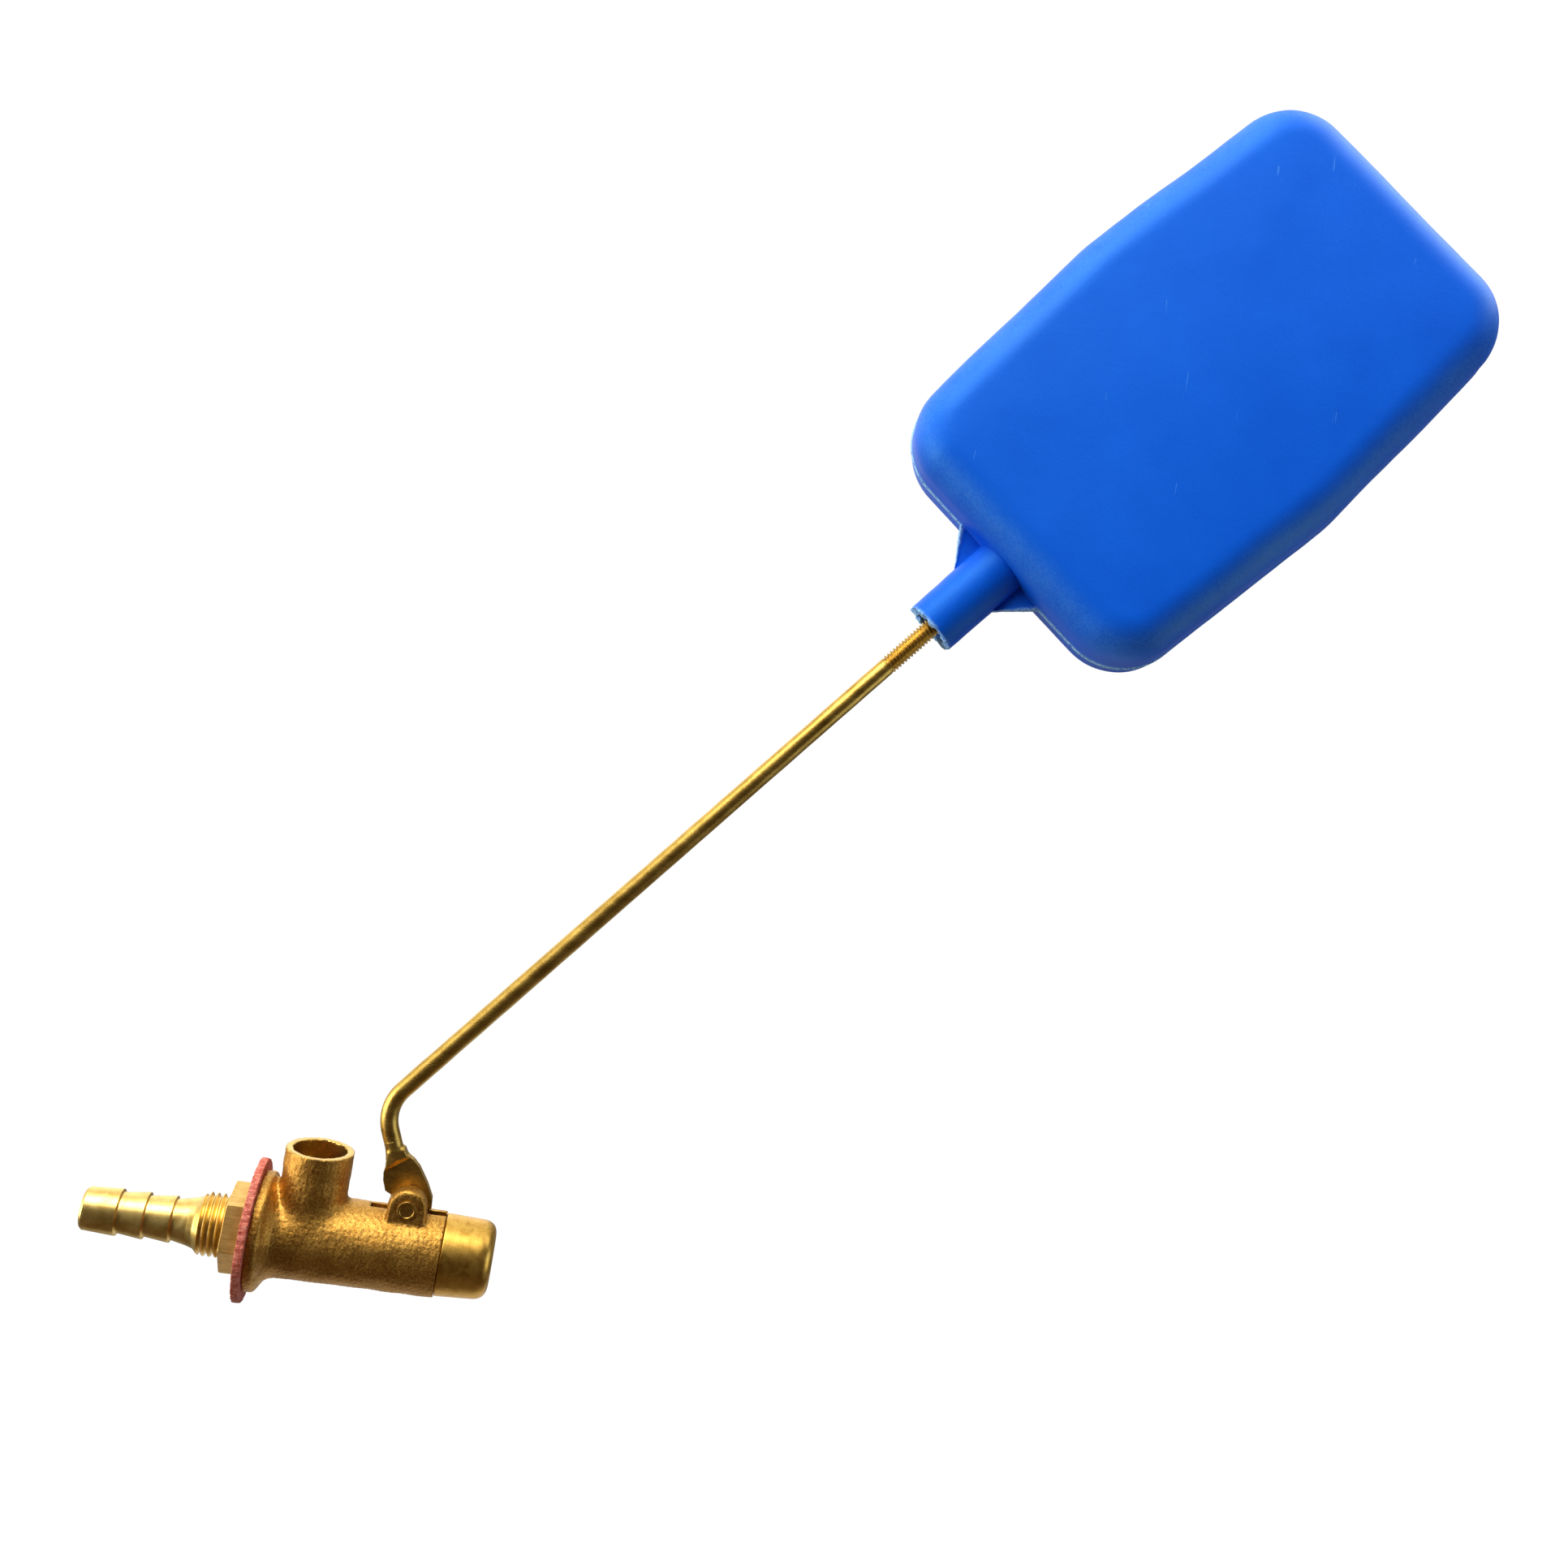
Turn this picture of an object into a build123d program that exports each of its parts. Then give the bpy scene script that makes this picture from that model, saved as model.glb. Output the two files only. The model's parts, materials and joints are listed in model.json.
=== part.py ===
"""Float valve: a brass piston valve worked by a hinged arm with a blue plastic float.

Frame: the origin is on the inlet axis at the flange's sealing face, +X runs from the hose tail
towards the end cap and +Z is up. The spout and the arm hang underneath, and the arm swings in
the XZ plane about a pin along Y. The arm is drawn at its lowest, with the valve fully open.
"""

import os
from math import cos, radians, sin

from build123d import *

os.makedirs("parts", exist_ok=True)

# ---- driving dimensions, millimetres and degrees ------------------------------------------

# inlet shank: hose tail, then an M20 x 2 thread up to the flange; under the lock nut both
# threads are drawn at their pitch radius
thread_r = 20.0 / 2
thread_pitch_r = 18.7 / 2
thread_end_x = -17.0
thread_chamfer = 0.9
tail_end_x = -53.5
tail_tip_r = 6.75
barb_count = 3
barb_pitch = 8.35
barb_last_x = -25.8
barb_crest_r = 7.35
barb_root_r = 6.6
barb_step = 0.35
cone_x = -20.6
inlet_bore_r = 4.6

# cast body
flange_r = 19.1
flange_rim = 3.0
flange_slope = 4.4
barrel_r = 13.75
barrel_end_x = 59.2
chamber_x = 8.0
piston_bore_r = 10.4
nose_r = 11.7
nose_end_x = 68.5
spout_x = 15.9
spout_r = 10.8
spout_drop = 29.6
spout_bore_r = 8.55
spout_bore_depth = 14.0
spout_port_r = 7.4
slot_x = 34.5
slot_w = 3.7

# pivot
pin_x = 46.5
pin_z = -16.0
lug_r = 6.3
lug_y = 8.0
pin_r = 2.5
pin_head_r = 3.1
pin_head_h = 0.6

# seat nozzle in the end wall of the chamber
recess_x = 1.5
recess_r = 6.5
nozzle_flange_r = 8.4
nozzle_flange_t = 2.0
seat_x = 13.0
seat_r = 3.9
orifice_r = 2.4

# lock nut and flange washer
washer_t = 2.45
washer_r = 22.9
nut_t = 6.45
nut_af = 25.1
nut_turn = 12.0
nut_to_thread = 0.1
washer_gap = 0.15

# end cap
cap_r = 13.2
cap_end_r = 12.5
cap_end_x = 76.3
cap_wall = 5.6
cap_round = 3.6
cap_gap = 0.1

# arm: finger, blade, stub and rod
arm_swing = 46.0
finger_l = 11.0
finger_tip_r = 3.2
blade_t = 3.2
rod_r = 2.9
rod_angle = 51.5
bend_x, bend_z = 33.55, -46.5
bend_r = 14.0
rod_thread_r = 6.35 / 2
rod_thread_l = 18.2
rod_in_neck = 21.0
neck_from_bend = 235.6

# piston
piston_gap = 0.3
piston_slot_gap = 0.3
retainer_lip = 1.0
retainer_l = 10.0
piston_washer_t = 3.6

# float
neck_l = 30.7
neck_r = 9.2
neck_root_r = 9.5
neck_recess = 3.0
insert_r = 6.0
insert_l = 20.0
web_start = 18.4
web_half_w = 19.7
web_t = 2.6
float_l = 176.6
float_mid_half_w = 60.4
float_near_half_w = 55.5
float_far_half_w = 53.7
float_half_t = 22.0
float_corner_r = 21.4
float_side_r = 80.0
float_edge_r = 13.0
float_draft = 2.0
float_wall = 1.8
float_roll = 15.0

# ---- places worked out from them ----------------------------------------------------------

open_angle = 90.0 - arm_swing / 2
travel = 2 * finger_l * cos(radians(open_angle))
finger_x = pin_x + finger_l * cos(radians(open_angle))
finger_z = pin_z + finger_l * sin(radians(open_angle))
rubber_x = seat_x + travel + 0.1
retainer_x = rubber_x - retainer_lip
cap_inner_x = cap_end_x - cap_wall
piston_end_x = cap_inner_x - 0.2
nut_x = -washer_t - nut_t

rod_dir = Vector(cos(radians(rod_angle)), 0, -sin(radians(rod_angle)))
bend = Vector(bend_x, 0, bend_z)
neck_mouth = bend + rod_dir * neck_from_bend
rod_side = Vector(sin(radians(rod_angle)), 0, cos(radians(rod_angle)))
neck_plane = Plane(origin=neck_mouth, x_dir=(0, 1, 0), z_dir=rod_dir)

# The float's own plane: local X along the rod from the neck's mouth, local Z through the float's
# thickness, which the float's turn on its screw has left float_roll away from the hinge axis.
float_up = Vector(0, 1, 0) * cos(radians(float_roll)) - rod_side * sin(radians(float_roll))
float_plane = Plane(origin=neck_mouth, x_dir=rod_dir, z_dir=float_up)


def keep(piece, name):
    """Label one finished piece and write its STEP file."""
    piece.part.label = name
    export_step(piece.part, f"parts/{name}.step")


# ---- valve body: shank, flange, barrel, spout and lugs in one casting -----------------------

shank_outline = [(tail_end_x, 0), (tail_end_x, tail_tip_r - 0.6), (tail_end_x + 0.9, tail_tip_r)]
for step in reversed(range(barb_count)):
    step_x = barb_last_x - step * barb_pitch
    shank_outline += [(step_x, barb_crest_r), (step_x + barb_step, barb_root_r)]
shank_outline += [
    (cone_x, barb_crest_r + 0.1),
    (thread_end_x - 1.2, thread_r - 2.0),
    (thread_end_x - 0.2, thread_r - thread_chamfer),
    (thread_end_x + thread_chamfer, thread_r),
    (nut_x - nut_to_thread, thread_r),
    (nut_x - nut_to_thread, thread_pitch_r),
    (-washer_t, thread_pitch_r),
    (-washer_t, thread_r),
    (0, thread_r),
    (0, 0),
]

with BuildPart() as valve_body:
    with BuildSketch(Plane.XZ):
        with BuildLine():
            Polyline(*shank_outline, close=True)
        make_face()
    revolve(axis=Axis.X)

    # flange and barrel, with the cove that joins them
    with BuildSketch(Plane.XZ):
        with BuildLine():
            Polyline(
                (0, 0),
                (0, flange_r),
                (flange_rim, flange_r),
                (flange_rim + flange_slope, barrel_r),
                (barrel_end_x, barrel_r),
                (barrel_end_x, nose_r),
                (nose_end_x, nose_r),
                (nose_end_x, 0),
                close=True,
            )
        outline = make_face()
        corners = outline.vertices()
        fillet(corners.sort_by(Axis.Z)[-2:].sort_by(Axis.X)[-1], radius=1.8)
        root = Vector(flange_rim + flange_slope, 0, barrel_r)
        fillet(outline.vertices().sort_by_distance(root)[0], radius=4.0)
    revolve(axis=Axis.X)

    # spout
    with BuildSketch(Plane.XY.offset(-spout_drop)):
        with Locations((spout_x, 0)):
            Circle(spout_r)
    extrude(amount=spout_drop)

    # two lugs over the slot, made as one block and parted by the slot
    with BuildSketch(Plane.XZ.offset(-lug_y)):
        with Locations((pin_x, pin_z)):
            Circle(lug_r)
        with Locations((pin_x, pin_z / 2 - 1)):
            Rectangle(2 * lug_r, -pin_z - 2)
    extrude(amount=2 * lug_y)

    # piston chamber, inlet passage and the recess for the nozzle
    with BuildSketch(Plane.XZ):
        with BuildLine():
            Polyline(
                (tail_end_x, 0),
                (tail_end_x, inlet_bore_r),
                (recess_x, inlet_bore_r),
                (recess_x, recess_r),
                (chamber_x, recess_r),
                (chamber_x, piston_bore_r),
                (nose_end_x, piston_bore_r),
                (nose_end_x, 0),
                close=True,
            )
        make_face()
    revolve(axis=Axis.X, mode=Mode.SUBTRACT)

    # spout bore, with a narrower port into the chamber
    with BuildSketch(Plane.XY.offset(-spout_drop)):
        with Locations((spout_x, 0)):
            Circle(spout_bore_r)
    extrude(amount=spout_bore_depth, mode=Mode.SUBTRACT)
    with BuildSketch(Plane.XY.offset(-spout_drop)):
        with Locations((spout_x, 0)):
            Circle(spout_port_r)
    extrude(amount=spout_drop - chamber_x, mode=Mode.SUBTRACT)

    # slot for the arm, open at the nose
    with BuildSketch(Plane.XY.offset(pin_z - lug_r - 1)):
        with Locations(((slot_x + nose_end_x + 1) / 2, 0)):
            Rectangle(nose_end_x + 1 - slot_x, slot_w)
    extrude(amount=lug_r + 1 - pin_z, mode=Mode.SUBTRACT)

    # pin hole through both lugs
    with BuildSketch(Plane.XZ.offset(-lug_y - 1)):
        with Locations((pin_x, pin_z)):
            Circle(pin_r)
    extrude(amount=2 * lug_y + 2, mode=Mode.SUBTRACT)

keep(valve_body, "valve_body")

# ---- seat nozzle: a plug with a raised seat for the piston washer ---------------------------

with BuildPart() as seat_nozzle:
    with BuildSketch(Plane.XZ):
        with BuildLine():
            Polyline(
                (recess_x, orifice_r + 1.4),
                (recess_x, recess_r),
                (chamber_x, recess_r),
                (chamber_x, nozzle_flange_r),
                (chamber_x + nozzle_flange_t, nozzle_flange_r),
                (chamber_x + nozzle_flange_t, seat_r + 1.6),
                (seat_x, seat_r),
                (seat_x, orifice_r),
                (recess_x + 4.0, orifice_r),
                close=True,
            )
        make_face()
    revolve(axis=Axis.X)

keep(seat_nozzle, "seat_nozzle")

# ---- flange washer and lock nut --------------------------------------------------------------

with BuildPart() as fibre_washer:
    with BuildSketch(Plane.YZ.offset(-washer_t)):
        Circle(washer_r)
        Circle(thread_r + washer_gap, mode=Mode.SUBTRACT)
    extrude(amount=washer_t)
    fillet(fibre_washer.edges().filter_by(GeomType.CIRCLE).sort_by(SortBy.RADIUS)[-2:], radius=0.5)

keep(fibre_washer, "fibre_washer")

nut_plane = Plane.YZ.offset(nut_x)
with BuildPart() as lock_nut:
    with BuildSketch(nut_plane):
        RegularPolygon(nut_af / 2, 6, major_radius=False, rotation=nut_turn)
        Circle(thread_pitch_r, mode=Mode.SUBTRACT)
    extrude(amount=nut_t)
    # turned cone that takes the sharp corners off both faces
    with BuildSketch(Plane.XZ):
        with BuildLine():
            Polyline(
                (nut_x, 0),
                (nut_x, nut_af / 2 + 0.7),
                (nut_x + 0.8, nut_af / 2 + 2.2),
                (-washer_t - 0.8, nut_af / 2 + 2.2),
                (-washer_t, nut_af / 2 + 0.7),
                (-washer_t, 0),
                close=True,
            )
        make_face()
    revolve(axis=Axis.X, mode=Mode.INTERSECT)

keep(lock_nut, "lock_nut")

# ---- end cap, screwed over the nose ----------------------------------------------------------

with BuildPart() as end_cap:
    with BuildSketch(Plane.XZ):
        with BuildLine():
            Polyline(
                (barrel_end_x, nose_r + cap_gap),
                (barrel_end_x, cap_r - 0.3),
                (barrel_end_x + 0.3, cap_r),
                (cap_end_x - cap_round, cap_end_r + 0.1),
            )
            arc_start = (cap_end_x - cap_round, cap_end_r + 0.1)
            ThreePointArc(
                arc_start,
                (cap_end_x - 0.3 * cap_round, cap_end_r - 0.3 * cap_round),
                (cap_end_x, cap_end_r - cap_round),
            )
            Polyline(
                (cap_end_x, cap_end_r - cap_round),
                (cap_end_x, 0),
                (cap_inner_x, 0),
                (cap_inner_x, piston_bore_r),
                (nose_end_x + 0.4, piston_bore_r),
                (nose_end_x + 0.4, nose_r + cap_gap),
                (barrel_end_x, nose_r + cap_gap),
            )
        make_face()
    revolve(axis=Axis.X)

keep(end_cap, "end_cap")

# ---- pivot pin: headed on one side, peened over on the other --------------------------------

with BuildPart() as pivot_pin:
    with BuildSketch(Plane.XZ.offset(-lug_y)):
        with Locations((pin_x, pin_z)):
            Circle(pin_r)
    extrude(amount=2 * lug_y)
    for side in (-1, 1):
        with BuildSketch(Plane.XZ.offset(side * lug_y)):
            with Locations((pin_x, pin_z)):
                Circle(pin_head_r)
        extrude(amount=side * pin_head_h)
    rims = pivot_pin.edges().filter_by(GeomType.CIRCLE).group_by(Axis.Y)
    fillet(rims[0] + rims[-1], radius=0.25)
    with BuildSketch(Plane.XZ.offset(-lug_y - pin_head_h)):
        with Locations((pin_x, pin_z)):
            Circle(pin_head_r - 0.7)
    extrude(amount=0.2, mode=Mode.SUBTRACT)

keep(pivot_pin, "pivot_pin")

# ---- arm: flat blade with its finger, drawn out into a bent round rod ------------------------

finger_dir = Vector(cos(radians(open_angle)), 0, sin(radians(open_angle)))
finger_side = Vector(sin(radians(open_angle)), 0, -cos(radians(open_angle)))
pin_point = Vector(pin_x, 0, pin_z)


def on_finger(along, across):
    """A point of the blade's outline, from the pin along the finger and across it."""
    spot = pin_point + finger_dir * along + finger_side * across
    return spot.X, spot.Z


stub_foot = Vector(40.8, 0, -28.5)
rod_end = neck_mouth + rod_dir * rod_in_neck
thread_start = neck_mouth - rod_dir * rod_thread_l

with BuildPart() as lever_arm:
    with BuildSketch(Plane.XZ):
        with BuildLine():
            Polyline(
                (38.6, -30.6),
                (37.3, -27.6),
                (36.8, -25.2),
                (37.1, -22.6),
                (38.3, -19.2),
                (40.2, -18.3),
                on_finger(2.6, -5.2),
                on_finger(7.6, -2.3),
                on_finger(finger_l, -2.3),
                on_finger(finger_l, 2.3),
                on_finger(7.6, 2.3),
                on_finger(3.0, 5.4),
                (53.9, -14.9),
                (53.6, -18.6),
                (51.4, -23.0),
                (47.9, -28.4),
                (43.4, -31.8),
                close=True,
            )
        make_face()
        with Locations(on_finger(finger_l, 0)):
            Circle(finger_tip_r)
    extrude(amount=blade_t / 2, both=True)

    # rod: stub, bend and long run
    with BuildLine():
        rod_path = FilletPolyline(stub_foot, bend, thread_start, radius=bend_r)
    with BuildSketch(Plane(origin=stub_foot, z_dir=bend - stub_foot)):
        Circle(rod_r)
    sweep(path=rod_path)

    # rolled thread on the rod's end
    with BuildSketch(neck_plane.offset(-rod_thread_l)):
        Circle(rod_thread_r)
    extrude(amount=rod_thread_l + rod_in_neck)
    chamfer(lever_arm.edges().filter_by(GeomType.CIRCLE).sort_by_distance(rod_end)[0], length=0.6)

    # pin hole, a running fit
    with BuildSketch(Plane.XZ.offset(-blade_t)):
        with Locations((pin_x, pin_z)):
            Circle(pin_r + 0.05)
    extrude(amount=2 * blade_t, mode=Mode.SUBTRACT)

keep(lever_arm, "lever_arm")

# ---- piston, its rubber washer and the retainer that screws over it --------------------------

piston_r = piston_bore_r - piston_gap
spigot_r = 8.0
washer_back_x = rubber_x + piston_washer_t
retainer_end_x = retainer_x + retainer_l
slot_half = finger_tip_r + piston_slot_gap

with BuildPart() as piston:
    with BuildSketch(Plane.XZ):
        with BuildLine():
            Polyline(
                (washer_back_x, 0),
                (washer_back_x, spigot_r),
                (retainer_end_x, spigot_r),
                (retainer_end_x, piston_r),
                (piston_end_x, piston_r),
                (piston_end_x, 6.0),
                (piston_end_x - 8.0, 6.0),
                (piston_end_x - 8.0, 0),
                close=True,
            )
        make_face()
    revolve(axis=Axis.X)
    # slot for the finger: parallel jaws with a flared mouth underneath
    with BuildSketch(Plane.XZ.offset(-blade_t)):
        with BuildLine():
            half = [(9.8, -11.0), (9.8, -9.4), (5.9, -9.4), (slot_half, -7.9), (slot_half, -1.2)]
            right = [(finger_x + x, z) for x, z in half]
            left = [(finger_x - x, z) for x, z in reversed(half)]
            Polyline(*right, *left, close=True)
        make_face()
    extrude(amount=2 * blade_t, mode=Mode.SUBTRACT)

keep(piston, "piston")

with BuildPart() as piston_washer:
    with BuildSketch(Plane.YZ.offset(rubber_x)):
        Circle(spigot_r - 0.1)
    extrude(amount=piston_washer_t)

keep(piston_washer, "piston_washer")

with BuildPart() as washer_retainer:
    with BuildSketch(Plane.XZ):
        with BuildLine():
            Polyline(
                (retainer_x, 5.6),
                (retainer_x, piston_r - 0.8),
                (retainer_x + 0.4, piston_r - 0.4),
                (retainer_end_x, piston_r - 0.4),
                (retainer_end_x, spigot_r),
                (rubber_x, spigot_r),
                (rubber_x, 5.6),
                close=True,
            )
        make_face()
    revolve(axis=Axis.X)

keep(washer_retainer, "washer_retainer")

# ---- float: blown shell with a neck, two webs and a brass insert -----------------------------


def float_block(inset):
    """The float's rounded box, drawn in by inset all round: drafted both ways from the seam."""
    near, far = neck_l + inset, neck_l + float_l - inset
    middle = neck_l + float_l / 2
    with BuildPart() as block:
        with BuildSketch(float_plane):
            with BuildLine():
                side = [
                    (near, float_near_half_w - inset),
                    (middle, float_mid_half_w - inset),
                    (far, float_far_half_w - inset),
                ]
                Polyline(*side, *[(x, -y) for x, y in reversed(side)], close=True)
            plan = make_face()
            ends = plan.vertices().filter_by(
                lambda v: abs(float_plane.to_local_coords(v).X - middle) > 1
            )
            fillet(ends, radius=float_corner_r - inset)
            bends = plan.vertices().filter_by(
                lambda v: abs(float_plane.to_local_coords(v).X - middle) < 0.01
            )
            fillet(bends, radius=float_side_r)
        extrude(amount=float_half_t - inset, both=True, taper=float_draft)
        flats = block.faces().sort_by(Axis(origin=neck_mouth, direction=float_up))
        fillet(flats[0].edges() + flats[-1].edges(), radius=float_edge_r - inset)
    return block.part


outer = float_block(0)
cavity = float_block(float_wall)

with BuildPart() as float_shell:
    add(outer)
    # neck
    with BuildSketch(neck_plane):
        Circle(neck_r)
    with BuildSketch(neck_plane.offset(neck_l + 6)):
        Circle(neck_root_r)
    loft()
    # webs in the seam's plane
    with BuildSketch(float_plane):
        for up in (-1, 1):
            with BuildLine():
                Polyline(
                    (web_start, 0),
                    (web_start, up * neck_r),
                    (neck_l, up * web_half_w),
                    (neck_l + 4, up * web_half_w),
                    (neck_l + 4, 0),
                    close=True,
                )
            make_face()
    extrude(amount=web_t / 2, both=True)
    add(cavity, mode=Mode.SUBTRACT)
    # the neck's bore: a plain mouth, then the seat of the insert
    with BuildSketch(neck_plane):
        Circle(insert_r)
    extrude(amount=neck_recess + insert_l, mode=Mode.SUBTRACT)

keep(float_shell, "float_shell")

with BuildPart() as float_insert:
    with BuildSketch(neck_plane.offset(neck_recess)):
        Circle(insert_r)
        Circle(rod_thread_r, mode=Mode.SUBTRACT)
    extrude(amount=insert_l)

keep(float_insert, "float_insert")
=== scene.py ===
import json
import math
import bpy
import numpy as np
from mathutils import Matrix, Vector


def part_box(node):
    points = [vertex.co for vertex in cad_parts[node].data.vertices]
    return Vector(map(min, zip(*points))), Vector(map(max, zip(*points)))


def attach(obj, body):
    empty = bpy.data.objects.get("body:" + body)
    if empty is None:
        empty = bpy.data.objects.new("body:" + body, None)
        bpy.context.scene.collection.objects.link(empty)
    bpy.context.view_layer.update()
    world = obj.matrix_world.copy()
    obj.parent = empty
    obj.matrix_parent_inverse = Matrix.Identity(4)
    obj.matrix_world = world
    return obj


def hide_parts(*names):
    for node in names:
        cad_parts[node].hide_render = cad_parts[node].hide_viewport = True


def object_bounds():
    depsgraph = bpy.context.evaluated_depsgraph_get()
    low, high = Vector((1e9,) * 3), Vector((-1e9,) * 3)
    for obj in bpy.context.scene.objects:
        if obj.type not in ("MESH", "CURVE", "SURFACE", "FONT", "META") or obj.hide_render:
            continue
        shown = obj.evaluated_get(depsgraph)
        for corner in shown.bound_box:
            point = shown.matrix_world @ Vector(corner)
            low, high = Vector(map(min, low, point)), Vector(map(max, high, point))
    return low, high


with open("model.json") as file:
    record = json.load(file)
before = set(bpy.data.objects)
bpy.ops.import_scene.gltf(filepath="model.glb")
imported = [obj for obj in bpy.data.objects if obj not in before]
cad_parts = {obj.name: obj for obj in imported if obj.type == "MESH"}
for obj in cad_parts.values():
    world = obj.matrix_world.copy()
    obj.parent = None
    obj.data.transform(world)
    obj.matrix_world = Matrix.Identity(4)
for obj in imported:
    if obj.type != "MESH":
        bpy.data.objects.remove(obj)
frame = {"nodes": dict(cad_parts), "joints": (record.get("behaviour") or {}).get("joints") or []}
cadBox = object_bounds()
mm = 0.001
print("frame loaded:", len(frame["nodes"]), "nodes")


# meshes: every piece is worked out in millimetres and goes into Blender in metres

def toObject(name, points, faces, crease=40.0):
    # points times 0.001 become a smooth mesh, sharp where two faces meet at more than crease degrees
    mesh = bpy.data.meshes.new(name)
    mesh.from_pydata((points * mm).tolist(), [], faces)
    mesh.update()
    mesh.shade_smooth()
    mesh.set_sharp_from_angle(angle=math.radians(crease))
    piece = bpy.data.objects.new(name, mesh)
    bpy.context.scene.collection.objects.link(piece)
    print("made", name, len(faces), "faces")
    return piece


def turnOut(points, faces):
    # signed volume of the closed shell, summed over its faces as fans; negative means inside out
    total = 0.0
    for size in (3, 4):
        f = np.array([g for g in faces if len(g) == size], dtype=int)
        if len(f):
            for k in range(1, size - 1):
                a, b, c = points[f[:, 0]], points[f[:, k]], points[f[:, k + 1]]
                total += np.einsum("ij,ij->i", a, np.cross(b, c)).sum()
    return [g[::-1] for g in faces] if total < 0 else faces


def gridFaces(rows, columns, start=0):
    # quads between neighbouring rows, the last column joined back to the first
    i, j = np.meshgrid(np.arange(rows - 1), np.arange(columns), indexing="ij")
    n = (j + 1) % columns
    quads = np.stack([i * columns + j, i * columns + n, (i + 1) * columns + n, (i + 1) * columns + j], -1)
    return (quads.reshape(-1, 4) + start).tolist()


def tube(name, grid, crease=40.0, closed=False):
    # grid[row, column] is a ring per row; open ends close on their own centres, a closed one joins end to end
    rows, columns = grid.shape[:2]
    points = grid.reshape(-1, 3)
    faces = gridFaces(rows, columns)
    if closed:
        j = np.arange(columns)
        n = (j + 1) % columns
        last = (rows - 1) * columns
        faces += np.stack([last + j, last + n, n, j], -1).tolist()
    else:
        a, b = len(points), len(points) + 1
        points = np.vstack([points, grid[0].mean(0), grid[-1].mean(0)])
        j = np.arange(columns)
        n = (j + 1) % columns
        faces += np.stack([np.full(columns, a), n, j], -1).tolist()
        last = (rows - 1) * columns
        faces += np.stack([np.full(columns, b), last + j, last + n], -1).tolist()
    return toObject(name, points, turnOut(points, faces), crease)


def turned(name, along, radius, columns, origin=(0, 0, 0), axis="X", crease=40.0, closed=False):
    # a lathe surface: point = origin + along on the axis + radius (cos a, sin a) across it;
    # radius may change round the piece, as on a thread or a hexagon
    angle = np.linspace(0, 2 * math.pi, columns, endpoint=False)
    s = np.broadcast_to(np.asarray(along, float).reshape(len(along), -1), (len(along), columns))
    r = np.asarray(radius, float)
    r = np.broadcast_to(r[:, None] if r.ndim == 1 else r, (len(along), columns))
    across = np.stack([r * np.cos(angle), r * np.sin(angle)], -1)
    order = {"X": (2, 0, 1), "Y": (0, 2, 1), "Z": (0, 1, 2)}[axis]
    grid = np.stack([across[..., 0], across[..., 1], s], -1)[..., list(order)] + np.array(origin)
    return tube(name, grid, crease, closed)


def rounded(corners, reach, steps=5):
    # each corner of a profile becomes a quadratic arc that starts and ends at reach from it,
    # or at 0.45 of the shorter run beside it
    corners = np.array(corners, float)
    reach = np.broadcast_to(np.asarray(reach, float), (len(corners),))
    out = [corners[0]]
    for k in range(1, len(corners) - 1):
        p, q, r = corners[k - 1], corners[k], corners[k + 1]
        u, v = p - q, r - q
        d = min(reach[k], 0.45 * np.hypot(*u), 0.45 * np.hypot(*v))
        t = np.linspace(0, 1, steps)[:, None]
        a, b = q + u / np.hypot(*u) * d, q + v / np.hypot(*v) * d
        out.extend((1 - t) ** 2 * a + 2 * t * (1 - t) * q + t ** 2 * b)
    out.append(corners[-1])
    return np.array(out)


def filled(path, spacing):
    # points added along the straight runs of a profile so that none is longer than spacing
    out = [path[0]]
    for a, b in zip(path[:-1], path[1:]):
        n = max(1, int(math.ceil(np.hypot(*(b - a)) / spacing)))
        out.extend(a + (b - a) * (np.arange(1, n + 1) / n)[:, None])
    return np.array(out)


# solids as fields: negative inside, distances in millimetres

def outlineField(u, v, corners):
    # distance to the nearest side of a closed outline, negative where a ray crosses an odd number of sides
    near = np.full(u.shape, 1e9)
    inside = np.zeros(u.shape, bool)
    for (ax, ay), (bx, by) in zip(corners, list(corners[1:]) + [corners[0]]):
        ex, ey = bx - ax, by - ay
        t = np.clip(((u - ax) * ex + (v - ay) * ey) / (ex * ex + ey * ey), 0, 1)
        near = np.minimum(near, np.hypot(u - ax - t * ex, v - ay - t * ey))
        if ey:
            inside ^= ((ay > v) != (by > v)) & (u < ex * (v - ay) / ey + ax)
    return np.where(inside, -near, near)


def thick(flat, w, half, edge=0.0):
    # a flat field carried half either side of its plane, its edges rounded to edge
    a, b = flat + edge, np.abs(w) - half + edge
    return np.minimum(np.maximum(a, b), 0) + np.hypot(np.maximum(a, 0), np.maximum(b, 0)) - edge


def melt(a, b, k):
    # union with a fillet: the smaller of the two, less h (1 - h) k where they are within k of each other
    h = np.clip(0.5 + 0.5 * (b - a) / k, 0, 1)
    return b + (a - b) * h - k * h * (1 - h)


def ripple(p, length, seed, waves=9):
    # uneven surface: a sum of sine waves of about one length in fixed random directions, from -1 to 1
    rng = np.random.default_rng(seed)
    way = rng.normal(size=(waves, 3))
    way *= (2 * math.pi / length / np.linalg.norm(way, axis=1) * rng.uniform(0.7, 1.4, waves))[:, None]
    phase = rng.uniform(0, 2 * math.pi, waves)
    return sum(np.sin(p @ w + f) for w, f in zip(way, phase)) / math.sqrt(waves)


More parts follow.
